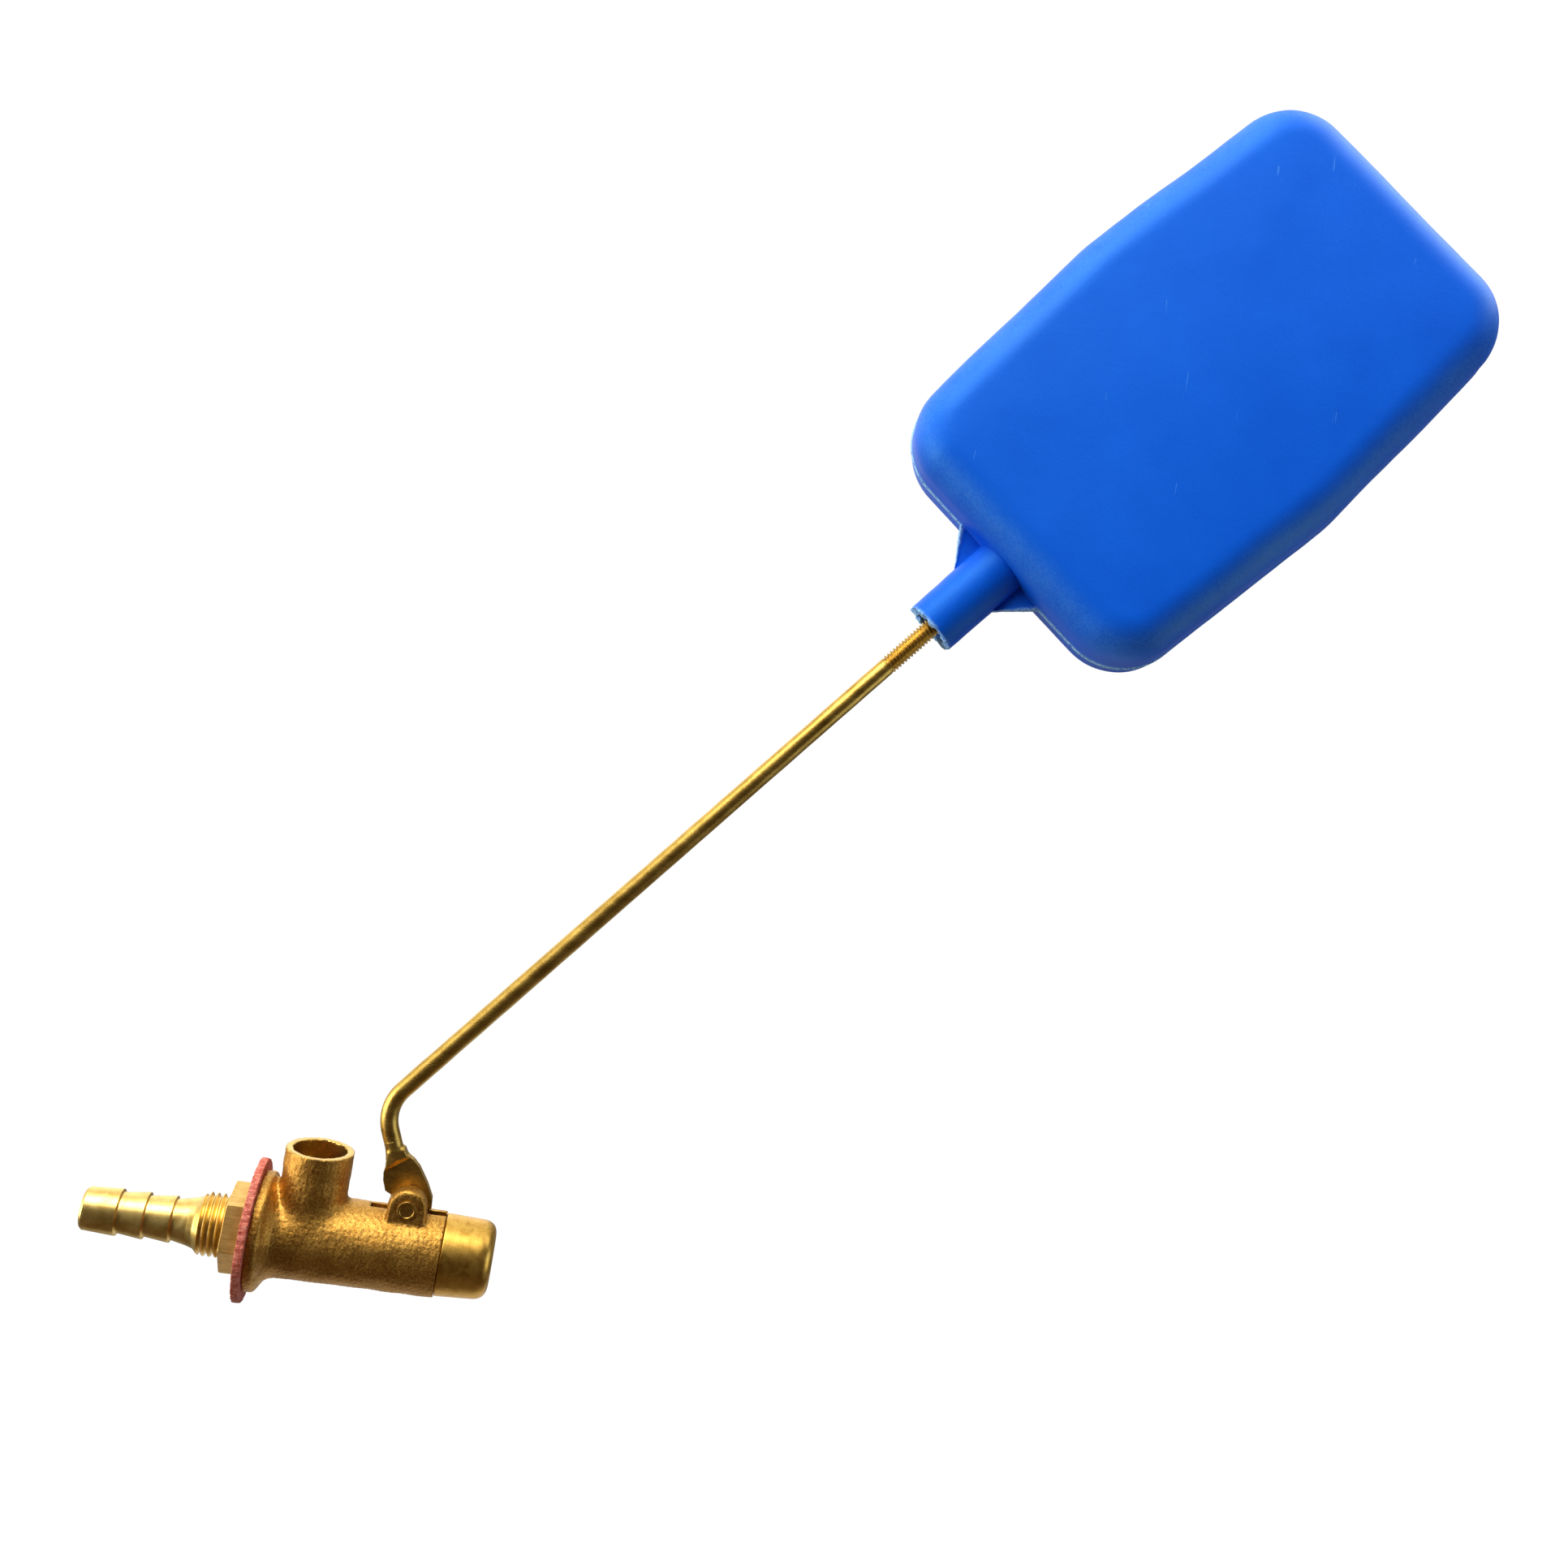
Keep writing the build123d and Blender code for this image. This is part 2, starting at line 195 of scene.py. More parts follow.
def fieldSurface(name, field, low, high, step, crease=50.0):
    # the surface where field is zero: one point in each cell that it passes through, at the mean of
    # the crossings of the cell's edges, then moved three times along the slope by -f / |slope|, up to
    # 0.6 of a cell away; a quad round each crossed edge
    low, high = np.array(low, float), np.array(high, float)
    count = np.ceil((high - low) / step).astype(int) + 1
    lines = [low[i] + step * np.arange(count[i]) for i in range(3)]
    corner = np.stack(np.meshgrid(*lines, indexing="ij"), -1)
    f = field(corner)
    index = np.arange(f.size).reshape(f.shape)
    spots, cells, quads = [], [], []
    strides = [f.shape[1] * f.shape[2], f.shape[2], 1]
    for axis in range(3):
        head = tuple(slice(0, -1) if i == axis else slice(1, -1) for i in range(3))
        tail = tuple(slice(1, None) if i == axis else slice(1, -1) for i in range(3))
        f0, f1 = f[head], f[tail]
        hit = (f0 < 0) != (f1 < 0)
        a, b = f0[hit], f1[hit]
        spot = corner[head][hit].copy()
        spot[:, axis] += step * a / (a - b)
        home = index[head][hit]
        u, v = [strides[i] for i in range(3) if i != axis]
        ring = np.stack([home, home - u, home - u - v, home - v], -1)
        spots.append(np.repeat(spot, 4, 0))
        cells.append(ring.reshape(-1))
        flip = (a > 0) != (axis == 1)
        quads.append(np.where(flip[:, None], ring[:, ::-1], ring))
    names, place = np.unique(np.concatenate(cells), return_inverse=True)
    spots = np.concatenate(spots)
    weight = np.bincount(place)
    points = np.stack([np.bincount(place, spots[:, i]) for i in range(3)], -1) / weight[:, None]
    start = points.copy()
    probe = 0.02
    for turn in range(3):
        value = field(points)
        slope = np.stack([field(points + d) - field(points - d) for d in np.eye(3) * probe], -1) / (2 * probe)
        move = -value[:, None] * slope / np.maximum((slope ** 2).sum(-1), 0.2)[:, None]
        points = start + np.clip(points + move - start, -0.6 * step, 0.6 * step)
    faces = np.searchsorted(names, np.concatenate(quads)).tolist()
    return toObject(name, points, turnOut(points, faces), crease)


def pointsOf(piece):
    # the mesh's points in millimetres: stored place divided by 0.001
    co = np.empty(len(piece.data.vertices) * 3, np.float32)
    piece.data.vertices.foreach_get("co", co)
    return co.reshape(-1, 3).astype(float) / mm


def mark(piece, name, values):
    # a number for each point, which a finish can read
    layer = piece.data.attributes.new(name, "FLOAT", "POINT")
    layer.data.foreach_set("value", np.asarray(values, np.float32))


# valve body: the casting, then the cuts made in it

pin = np.array(next(j for j in frame["joints"] if j["name"] == "arm_hinge")["pos_m"]) / mm

casting = {
    "flangeR": 19.1, "flangeRim": 3.0, "coneEnd": 7.0, "barrelR": 13.75, "barrelEnd": 59.2,
    "noseR": 11.7, "noseEnd": 68.5, "spoutX": 15.9, "spoutR": 10.8, "spoutDrop": 29.6,
    "lugR": 6.3, "lugY": 8.0, "lugEdge": 1.4, "cove": 2.8, "spoutFillet": 3.0, "lugFillet": 0.9,
    "chamberX": 8.0, "chamberR": 10.4, "recessX": 1.5, "recessR": 6.5, "spoutBoreR": 8.55,
    "spoutBoreDepth": 14.0, "portR": 7.4, "portTop": -5, "slotX": 34.5, "slotHalf": 1.85, "slotTop": -4,
    "pinR": 2.5, "passageR": 4.6, "rimEdge": 1.4, "spoutTaper": 0.012, "cell": 0.44, "waves": 0.09,
    "grain": 0.04,
}


def castField(p):
    # flange and barrel turned about the inlet axis, spout and lugs melted on: distance to the nearest of
    # them, plus two ripples that make the skin uneven
    c = casting
    x, y, z = p[..., 0], p[..., 1], p[..., 2]
    r = np.hypot(y, z)
    edge = c["rimEdge"]
    rim = [(-4, -4), (-4, c["flangeR"] - edge), (c["flangeRim"] - 0.6 * edge, c["flangeR"] - edge),
           (c["coneEnd"] - edge, c["barrelR"] - edge - 0.5), (c["coneEnd"] - edge, -4)]
    d = melt(outlineField(x, r, rim) - edge, r - c["barrelR"], c["cove"])
    spout = np.hypot(x - c["spoutX"], y) - c["spoutR"] + c["spoutTaper"] * (z + c["spoutDrop"])
    d = melt(d, np.maximum(spout, z), c["spoutFillet"])
    stem = np.maximum(np.maximum(np.abs(x - pin[0]) - c["lugR"], pin[2] - z), z)
    lug = np.minimum(np.hypot(x - pin[0], z - pin[2]) - c["lugR"], stem)
    d = melt(d, thick(lug, y, c["lugY"], c["lugEdge"]), c["lugFillet"])
    return d + c["waves"] * ripple(p, 9.0, 4) + c["grain"] * ripple(p, 1.9, 3)


def cutField(p):
    # negative in what the lathe, drills and saw take away: the least of the distances to the ends,
    # chamber, passage, spout bore, slot and pin hole
    c = casting
    x, y, z = p[..., 0], p[..., 1], p[..., 2]
    r, s = np.hypot(y, z), np.hypot(x - c["spoutX"], y)
    cuts = [
        x, z + c["spoutDrop"], np.maximum(c["barrelEnd"] - x, c["noseR"] - r), c["noseEnd"] - x,
        np.maximum(r - c["chamberR"], c["chamberX"] - x),
        np.maximum(r - c["recessR"], c["recessX"] - x), r - c["passageR"],
        np.maximum(s - c["spoutBoreR"], z + c["spoutDrop"] - c["spoutBoreDepth"]),
        np.maximum(s - c["portR"], z - c["portTop"]),
        np.maximum(np.maximum(np.abs(y) - c["slotHalf"], c["slotX"] - x), z - c["slotTop"]),
        np.hypot(x - pin[0], z - pin[2]) - c["pinR"],
    ]
    out = cuts[0]
    for cut in cuts[1:]:
        out = np.minimum(out, cut)
    return out


castBody = fieldSurface(
    "castBody", lambda p: np.maximum(castField(p), -cutField(p)),
    (-1, -20.4, -31), (70, 20.4, 20.4), casting["cell"])
mark(castBody, "cutFace", np.clip(-castField(pointsOf(castBody)) / 0.15, 0, 1))


# inlet shank: hose tail, cone and thread, bored through

shank = {
    "tip": -53.5, "tipR": 6.75, "crestR": 7.4, "rootR": 6.4, "barbs": 3, "barbPitch": 8.35,
    "lastBarb": -25.8, "cone": -20.6, "threadFoot": -18.1, "threadStart": -16.3, "threadR": 10.0,
    "threadPitch": 2.0, "threadDepth": 1.3, "end": 1.2, "boreR": 4.6, "columns": 160,
}


def threadR(s, angle, top, pitch, depth):
    # a screw's radius: a ridge of trapezium section, softened, that climbs one pitch a turn
    t = np.abs((s / pitch - angle / (2 * math.pi)) % 1 - 0.5) * 2
    t = np.clip((t - 0.10) / 0.78, 0, 1)
    return top - depth * (0.75 * t + 0.25 * t * t * (3 - 2 * t))


def shankRows():
    # radius by place along the axis: a sawtooth for the barbs, then the lesser of the screw's radius and
    # a cone that leads into it, then the bore back to the tip
    c = shank
    tail = [(c["tip"] + 0.5, c["boreR"]), (c["tip"], c["boreR"] + 0.4),
            (c["tip"], c["tipR"] - 0.7), (c["tip"] + 0.8, c["tipR"])]
    for k in reversed(range(c["barbs"])):
        x = c["lastBarb"] - k * c["barbPitch"]
        tail += [(x, c["crestR"]), (x + 0.3, c["rootR"])]
    tail += [(c["cone"], c["crestR"] + 0.05), (c["threadFoot"], c["threadR"] - c["threadDepth"] - 0.5)]
    tail = filled(rounded(tail, 0.12, 4), 1.2)
    s = np.arange(c["threadFoot"] + 0.1, -1.9, 0.07)
    angle = np.linspace(0, 2 * math.pi, c["columns"], endpoint=False)
    ramp = c["threadR"] - 0.05 + (s - c["threadStart"])[:, None] * 0.95
    r = np.minimum(ramp, threadR(s[:, None], angle, c["threadR"], c["threadPitch"], c["threadDepth"]))
    r = np.maximum(r, np.minimum(ramp, c["threadR"] - c["threadDepth"] - 0.1))
    full = np.ones((1, c["columns"]))
    bore = [(x, c["boreR"]) for x in (-10, -20, -30, -40, -52)]
    back = np.array([(-1.8, 9.0), (c["end"], 9.0), (c["end"], c["boreR"])] + bore)
    along = np.concatenate([tail[:, 0], s, back[:, 0]])
    return along, np.vstack([tail[:, 1:] * full, r, back[:, 1:] * full])


shankBar = turned("shankBar", *shankRows(), shank["columns"], closed=True, crease=50)


# lock nut: hexagon with a turned cone at both faces, threaded inside to match the shank

nut = {"x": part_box("lock_nut")[0].x / mm, "end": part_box("lock_nut")[1].x / mm, "flats": 25.1, "turn": 12.0,
       "faceR": 14.1, "cornerClip": 1.151, "mouthR": 10.6, "gap": 0.07, "columns": 180}


def nutRows():
    # radius of a hexagon at angle a, half the flats / cos(a from the middle of its side), clipped at the
    # corners; each face leans back by tan 30 times what is past faceR
    c = nut
    angle = np.linspace(0, 2 * math.pi, c["columns"], endpoint=False)
    side = np.radians((np.degrees(angle) - c["turn"]) % 60 - 30)
    hexR = np.minimum(c["flats"] / 2 / np.cos(side), c["flats"] / 2 * c["cornerClip"])
    lean = np.maximum(hexR - c["faceR"], 0) * math.tan(math.radians(30))
    hole = np.arange(c["end"] - 0.5, c["x"] + 0.5, -0.09)
    screw = threadR(hole[:, None], angle, shank["threadR"], shank["threadPitch"], shank["threadDepth"])
    holeR = screw + c["gap"]
    flat = np.ones(c["columns"])
    rows = [
        (c["x"] * flat, c["mouthR"] * flat), (c["x"] * flat, np.minimum(hexR - 0.12, c["faceR"])),
        (c["x"] + 0.06 + lean * 0.5, np.minimum(hexR - 0.04, (hexR + c["faceR"]) / 2)),
        (c["x"] + 0.12 + lean, hexR - 0.01), (c["x"] + 0.3 + lean, hexR),
        (c["end"] - 0.3 - lean, hexR), (c["end"] - 0.12 - lean, hexR - 0.01),
        (c["end"] * flat, np.minimum(hexR - 0.12, c["faceR"])), (c["end"] * flat, c["mouthR"] * flat),
    ]
    along = np.vstack([np.array([a for a, b in rows]), hole[:, None] * np.ones(c["columns"])])
    return along, np.vstack([np.array([b for a, b in rows]), holeR])


lockNut = turned("lockNut", *nutRows(), nut["columns"], closed=True, crease=22)


# fibre washer: punched ring with a torn, slightly wavy edge

washer = {"x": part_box("fibre_washer")[0].x / mm, "back": -0.02, "r": 22.9, "hole": 10.2, "columns": 360,
          "edge": 0.3, "ragged": 0.14, "wavy": 0.12, "lifted": 0.05}


def washerRows():
    # a flat ring's outline; towards the rim its radius and its faces gain ripples
    c = washer
    angle = np.linspace(0, 2 * math.pi, c["columns"], endpoint=False)
    loop = rounded([(c["x"], c["hole"]), (c["x"], 16.0), (c["x"], c["r"]),
                    (c["back"], c["r"] - 0.1), (c["back"], 15.0), (c["back"], c["hole"])],
                   [0, 0, c["edge"], c["edge"], 0, 0], 7)
    loop = filled(loop, 1.5)
    way = np.stack([np.cos(angle), np.sin(angle)], -1) * c["r"]
    ways = np.broadcast_to(way, (len(loop),) + way.shape)
    spot = np.concatenate([ways, np.broadcast_to(loop[:, None, :1], (len(loop), c["columns"], 1))], -1)
    outer = np.clip((loop[:, 1:] - 20.5) / 2.0, 0, 1)
    r = loop[:, 1:] + outer * (c["ragged"] * ripple(spot, 1.6, 11) + c["wavy"] * ripple(spot, 14, 12) - 0.15)
    rise = c["lifted"] * ripple(spot, 2.4, 13) * outer
    return loop[:, :1] + rise, r


fibreRing = turned("fibreRing", *washerRows(), washer["columns"], closed=True, crease=60)


# end cap: turned, screwed over the nose

cap = {"start": 59.32, "r": 13.2, "endR": 12.5, "end": 76.25, "round": 4.6, "noseR": 11.8, "inner": 70.7,
       "innerR": 10.4, "ledge": 68.9, "columns": 160}


def capRows():
    # a cup's profile from the middle of its inside, over the rim, to the middle of its outside
    c = cap
    path = rounded([
        (c["inner"], 0.4), (c["inner"], c["innerR"]), (c["ledge"], c["innerR"]), (c["ledge"], c["noseR"]),
        (c["start"], c["noseR"]), (c["start"], c["r"] - 0.35), (c["start"] + 0.35, c["r"]),
        (c["end"] - 0.1, c["endR"]), (c["end"] + 0.04, 0.4)],
        [0, 0.2, 0, 0, 0, 0.15, 0.2, c["round"], 0], 16)
    path = filled(path, 1.3)
    return path[:, 0], path[:, 1]


endCap = turned("endCap", *capRows(), cap["columns"], crease=35)


# pivot pin: both ends peened to a raised rim

rivet = {"r": 2.5, "headR": 3.1, "faceY": 8.0, "rim": 0.58, "dish": 0.26, "columns": 72}


def rivetRows():
    # half a pin's profile from the middle to one dished end, and its mirror image before it
    c = rivet
    top = c["faceY"] + c["rim"]
    half = rounded([(0.6, c["r"]), (c["faceY"], c["r"]), (c["faceY"], c["headR"]), (top, c["headR"]),
                    (top, c["headR"] - 0.75), (top - c["dish"], c["headR"] - 1.0), (top - c["dish"], 0.3)],
                   [0, 0, 0, 0.42, 0.25, 0.3, 0], 6)
    path = np.vstack([half[::-1] * (-1, 1), half])
    return path[:, 0], path[:, 1]


pinPiece = turned("pinPiece", *rivetRows(), rivet["columns"], origin=(pin[0], 0, pin[2]), axis="Y", crease=45)


# arm: round rod bent near one end, that end pressed flat and cut to a blade with its finger

arm = {
    "rodR": 2.9, "half": 1.6, "foot": (40.8, -28.5), "corner": (33.55, -46.5), "bendR": 14.0, "down": 51.5,
    "reach": 235.6, "inNeck": 21.0, "threadR": 3.175, "threadPitch": 1.27, "threadDepth": 0.74,
    "threadL": 18.2, "joint": 8.0, "fingerL": 11.0, "fingerTurn": 67.0, "tipR": 3.2, "holeR": 2.55,
    "stepA": (37.7, -26.3), "stepB": (43.2, -30.4), "slope": 1.1, "blankHalf": 2.45, "blankEdge": 0.5,
    "melt": 1.6, "cell": 0.27, "columns": 56,
}
lie = np.array([math.cos(math.radians(arm["down"])), -math.sin(math.radians(arm["down"]))])
bendCorner = np.array(arm["corner"])
neckMouth = bendCorner + lie * arm["reach"]


def alongFinger(along, across):
    # from the pin, along (cos a, sin a) and across (sin a, -cos a)
    a = math.radians(arm["fingerTurn"])
    return (pin[0] + along * math.cos(a) + across * math.sin(a),
            pin[2] + along * math.sin(a) - across * math.cos(a))


bladeOutline = [
    (37.2, -32.0), (37.0, -29.0), (37.1, -27.2), (36.8, -25.2), (37.1, -22.6), (38.3, -19.2), (40.2, -18.3),
    alongFinger(2.6, -5.2), alongFinger(7.6, -2.3), alongFinger(arm["fingerL"], -2.3),
    alongFinger(arm["fingerL"], 2.3), alongFinger(7.6, 2.3), alongFinger(3.0, 5.4), (53.9, -14.9),
    (53.6, -18.6), (51.4, -23.0), (47.9, -28.4), (45.6, -30.6), (43.4, -31.9), (42.2, -34.0)]


def bladeField(p):
    # rod and blank together, pressed to the blade's thickness past the step line, then the pin hole
    c = arm
    x, y, z = p[..., 0], p[..., 1], p[..., 2]
    foot = np.array(c["foot"])
    run = (bendCorner - foot) / np.hypot(*(bendCorner - foot))
    s = (x - foot[0]) * run[0] + (z - foot[1]) * run[1]
    off = (x - foot[0]) * -run[1] + (z - foot[1]) * run[0]
    rod = np.maximum(np.maximum(np.hypot(off, y) - c["rodR"], s - c["joint"] - 0.04), -s - 3)
    tip = alongFinger(c["fingerL"], 0)
    plate = np.minimum(outlineField(x, z, bladeOutline), np.hypot(x - tip[0], z - tip[1]) - c["tipR"])
    a, b = np.array(c["stepA"]), np.array(c["stepB"])
    side = (b - a) / np.hypot(*(b - a))
    past = (x - a[0]) * side[1] - (z - a[1]) * side[0]
    blank = thick(plate, y, c["blankHalf"], c["blankEdge"])
    d = melt(rod, blank, c["melt"])
    press = np.abs(y) - c["half"] - np.maximum(past * c["slope"], 0)
    d = np.maximum(d, press) + 0.02 * ripple(p, 2.5, 21)
    d = np.maximum(d, thick(np.minimum(plate, np.maximum(rod, -past - 2) - 0.6), y, 3.2, 0.35))
    return np.maximum(d, c["holeR"] - np.hypot(x - pin[0], z - pin[2]))


armBlade = fieldSurface("armBlade", bladeField, (32, -3.6, -39), (56.5, 3.6, -1.5), arm["cell"])


def rodLine(s):
    # the rod's centre line by length from its foot: a straight, an arc of the bend radius, a straight
    foot = np.array(arm["foot"])
    first = (bendCorner - foot) / np.hypot(*(bendCorner - foot))
    turn = math.acos(first @ lie)
    cut = arm["bendR"] * math.tan(turn / 2)
    straight = np.hypot(*(bendCorner - foot)) - cut
    inward = np.array([-first[1], first[0]])
    if inward @ lie < 0:
        inward = -inward
    a = np.clip((s - straight) / arm["bendR"], 0, turn)
    start = foot + first * straight
    onArc = start + arm["bendR"] * (np.sin(a)[:, None] * first + (1 - np.cos(a))[:, None] * inward)
    way = np.cos(a)[:, None] * first + np.sin(a)[:, None] * inward
    before = np.minimum(s - straight, 0)[:, None] * first
    after = np.maximum(s - straight - arm["bendR"] * turn, 0)[:, None] * lie
    total = straight + arm["bendR"] * turn + arm["reach"] - cut
    return onArc + before + after, way, total


def rodGrid():
    # rings of radius r carried along the centre line, r going from the bar's to the screw's over a short
    # length, and cut back at 45 degrees at the end
    c = arm
    mouth = rodLine(np.array([0.0]))[2]
    start = mouth - c["threadL"]
    s = np.concatenate([np.arange(c["joint"], 34, 0.6), np.arange(34, start - 1.2, 1.5),
                        np.arange(start - 1.2, mouth + c["inNeck"], 0.055)])
    centre, way, total = rodLine(s)
    angle = np.linspace(0, 2 * math.pi, c["columns"], endpoint=False)
    grow = np.clip((s - start + 0.9) / 1.6, 0, 1)[:, None]
    screw = threadR(s[:, None], angle, c["threadR"], c["threadPitch"], c["threadDepth"])
    r = c["rodR"] * (1 - grow) + screw * grow
    r = np.minimum(r, 2.3 + (s[-1] - s)[:, None])
    across = np.stack([-way[:, 1], way[:, 0]], -1)
    flat = centre[:, None] + across[:, None] * (r * np.cos(angle))[..., None]
    grid = np.stack([flat[..., 0], r * np.sin(angle), flat[..., 1]], -1)
    return grid + 0.015 * ripple(grid, 11, 31)[..., None] * (1 - grow)[..., None]


armRod = tube("armRod", rodGrid(), crease=60)


# float: blown box, its outline a polygon with arcs, its section a crowned face, a round edge and a side
# with draft

floatBox = {
    "near": 30.7, "length": 176.6, "nearHalf": 55.5, "midHalf": 60.4, "farHalf": 53.7, "half": 22.0,
    "crown": 0.9, "roll": 15.0, "corner": 21.4, "waist": 80.0, "edge": 13.0, "draft": 2.0, "flash": 0.45,
    "neckR": 9.2, "neckFootR": 9.5, "mouthR": 6.0, "webStart": 18.4, "webHalf": 19.7, "webThick": 2.6,
}
sideways = np.array([-lie[1], lie[0]])


def toFloat(u, w, t):
    # along the rod from the neck's mouth, across the float and through its thickness, both turned by the roll
    a = math.radians(floatBox["roll"])
    u, w, t = np.broadcast_arrays(u, w, t)
    flat = neckMouth + u[..., None] * lie + (w * math.cos(a) - t * math.sin(a))[..., None] * sideways
    return np.stack([flat[..., 0], w * math.sin(a) + t * math.cos(a), flat[..., 1]], -1)


def fromFloat(points):
    # the same three distances for points in place
    a = math.radians(floatBox["roll"])
    flat = points[..., [0, 2]] - neckMouth
    side, y = flat @ sideways, points[..., 1]
    return flat @ lie, side * math.cos(a) + y * math.sin(a), y * math.cos(a) - side * math.sin(a)


def outlineRing(corners, radii, spacing):
    # points and outward normals of a closed polygon whose corners are arcs
    corners = np.array(corners, float)
    spots, normals = [], []
    for k in range(len(corners)):
        p, q, r = corners[k - 1], corners[k], corners[(k + 1) % len(corners)]
        u, v = (q - p) / np.hypot(*(q - p)), (r - q) / np.hypot(*(r - q))
        turn = math.atan2(u[0] * v[1] - u[1] * v[0], u @ v)
        reach = radii[k] * math.tan(abs(turn) / 2)
        n0 = np.array([u[1], -u[0]])
        steps = max(3, int(radii[k] * abs(turn) / spacing))
        a = np.linspace(0, turn, steps)
        n = np.stack([n0[0] * np.cos(a) - n0[1] * np.sin(a), n0[0] * np.sin(a) + n0[1] * np.cos(a)], -1)
        centre = q - u * reach - n0 * radii[k]
        spots.append(centre + n * radii[k])
        normals.append(n)
    outS, outN = [], []
    for k in range(len(spots)):
        a, b = spots[k][-1], spots[(k + 1) % len(spots)][0]
        n = max(2, int(np.hypot(*(b - a)) / spacing))
        t = (np.arange(1, n) / n)[:, None]
        outS += [spots[k], a + (b - a) * t]
        outN += [normals[k], np.repeat(normals[k][-1:], n - 1, 0)]
    return np.vstack(outS), np.vstack(outN)


def floatGrid():
    # rings of the outline drawn in by inset at each height: inset = edge (1 - sin a) and
    # height = edge cos a round the edge, tan(draft) times the height on the side, and on the face
    # a share t of the way from the middle, crown t squared lower; the last three rings stand out as a
    # ridge of flash at the seam, and the rear half is the mirror image
    c = floatBox
    middle, far = c["near"] + c["length"] / 2, c["near"] + c["length"]
    corners = [(c["near"], -c["nearHalf"]), (middle, -c["midHalf"]), (far, -c["farHalf"]),
               (far, c["farHalf"]), (middle, c["midHalf"]), (c["near"], c["nearHalf"])]
    ring, normal = outlineRing(corners, [c["corner"], c["waist"], c["corner"]] * 2, 1.6)
    lean = math.tan(math.radians(c["draft"]))
    a = np.linspace(0, math.pi / 2, 13)
    edgeY = c["half"] - c["crown"] - c["edge"]
    inset = c["edge"] * (1 - np.sin(a)) + lean * edgeY
    height = edgeY + c["edge"] * np.cos(a)
    sideY = np.array([edgeY - 1.6, 2.4, 1.2, 0.55, 0.30, 0.0])
    sideIn = lean * sideY
    sideIn[-3:] -= np.array([0.1, 1.0, 1.0]) * c["flash"]
    inset, height = np.concatenate([inset, sideIn]), np.concatenate([height, sideY])
    t = (np.linspace(0.02, 0.97, 22) ** 0.8)[:, None, None]
    heart = np.array([middle, 0.0])
    inner = ring - normal * inset[0]
    face = heart + (inner - heart) * t
    faceY = c["half"] - c["crown"] * t[..., 0] ** 2 * np.ones(len(ring))
    wall = ring - normal * inset[:, None, None]
    plan = np.concatenate([face, wall])
    y = np.concatenate([faceY, height[:, None] * np.ones(len(ring))])
    front = toFloat(plan[..., 0], plan[..., 1], y)
    rear = toFloat(plan[:-1, :, 0], plan[:-1, :, 1], -y[:-1])[::-1]
    grid = np.concatenate([front, rear])
    heartPoint = toFloat(middle, 0.0, 0.0)
    out = grid - heartPoint
    out /= np.linalg.norm(out, axis=-1, keepdims=True)
    return grid + out * (0.16 * ripple(grid, 46, 41) + 0.03 * ripple(grid, 9, 42))[..., None]


floatShell = tube("floatShell", floatGrid(), crease=60)
u, w, t = fromFloat(pointsOf(floatShell))
nearEnd = np.clip((58 - u) / 18, 0, 1)
mark(floatShell, "trimmed", np.clip(1.7 - np.abs(t) / 0.8, 0, 1) * (0.2 + 0.8 * nearEnd))
# painted highlight: paler where the shell is most curved, between the flat of each face and the upright side,
# all round
inFromRim = floatBox["half"] - np.abs(t)
mark(floatShell, "rubbed", np.clip((inFromRim - 1.0) / 3.0, 0, 1) * np.clip((13.5 - inFromRim) / 5.0, 0, 1))


def neckGrid():
    # a tube whose mouth is trimmed by hand: the mouth's edge wanders along the axis by two ripples, which
    # fade out over 2.5 mm
    c = floatBox
    foot = c["near"] + 6
    corners = [(0.0, c["mouthR"]), (0.0, c["neckR"]), (foot, c["neckFootR"]), (foot, c["mouthR"])]
    loop = filled(rounded(corners, [0, 0.5, 0, 0], 5), 0.8)
    bore = filled(np.array([(foot, c["mouthR"]), (0.3, c["mouthR"])]), 2.0)[1:]
    loop = np.vstack([loop, bore])
    angle = np.linspace(0, 2 * math.pi, 140, endpoint=False)
    circle = np.stack([np.cos(angle), np.sin(angle), 0 * angle], -1) * 9
    chips = 0.35 * ripple(circle, 5, 51) + 0.2 * ripple(circle, 1.7, 52)
    s = loop[:, :1] + np.clip(1 - loop[:, :1] / 2.5, 0, 1) * chips
    around = np.broadcast_to(circle, (len(loop),) + circle.shape) + loop[:, :1, None]
    r = loop[:, 1:] * np.ones(len(angle)) + 0.05 * ripple(around, 12, 53)
    return toFloat(s, r * np.cos(angle), r * np.sin(angle)), s


neckPoints, neckAlong = neckGrid()
floatNeck = tube("floatNeck", neckPoints, crease=60, closed=True)
mark(floatNeck, "trimmed", np.clip(1.0 - neckAlong / 0.8, 0, 1).reshape(-1))


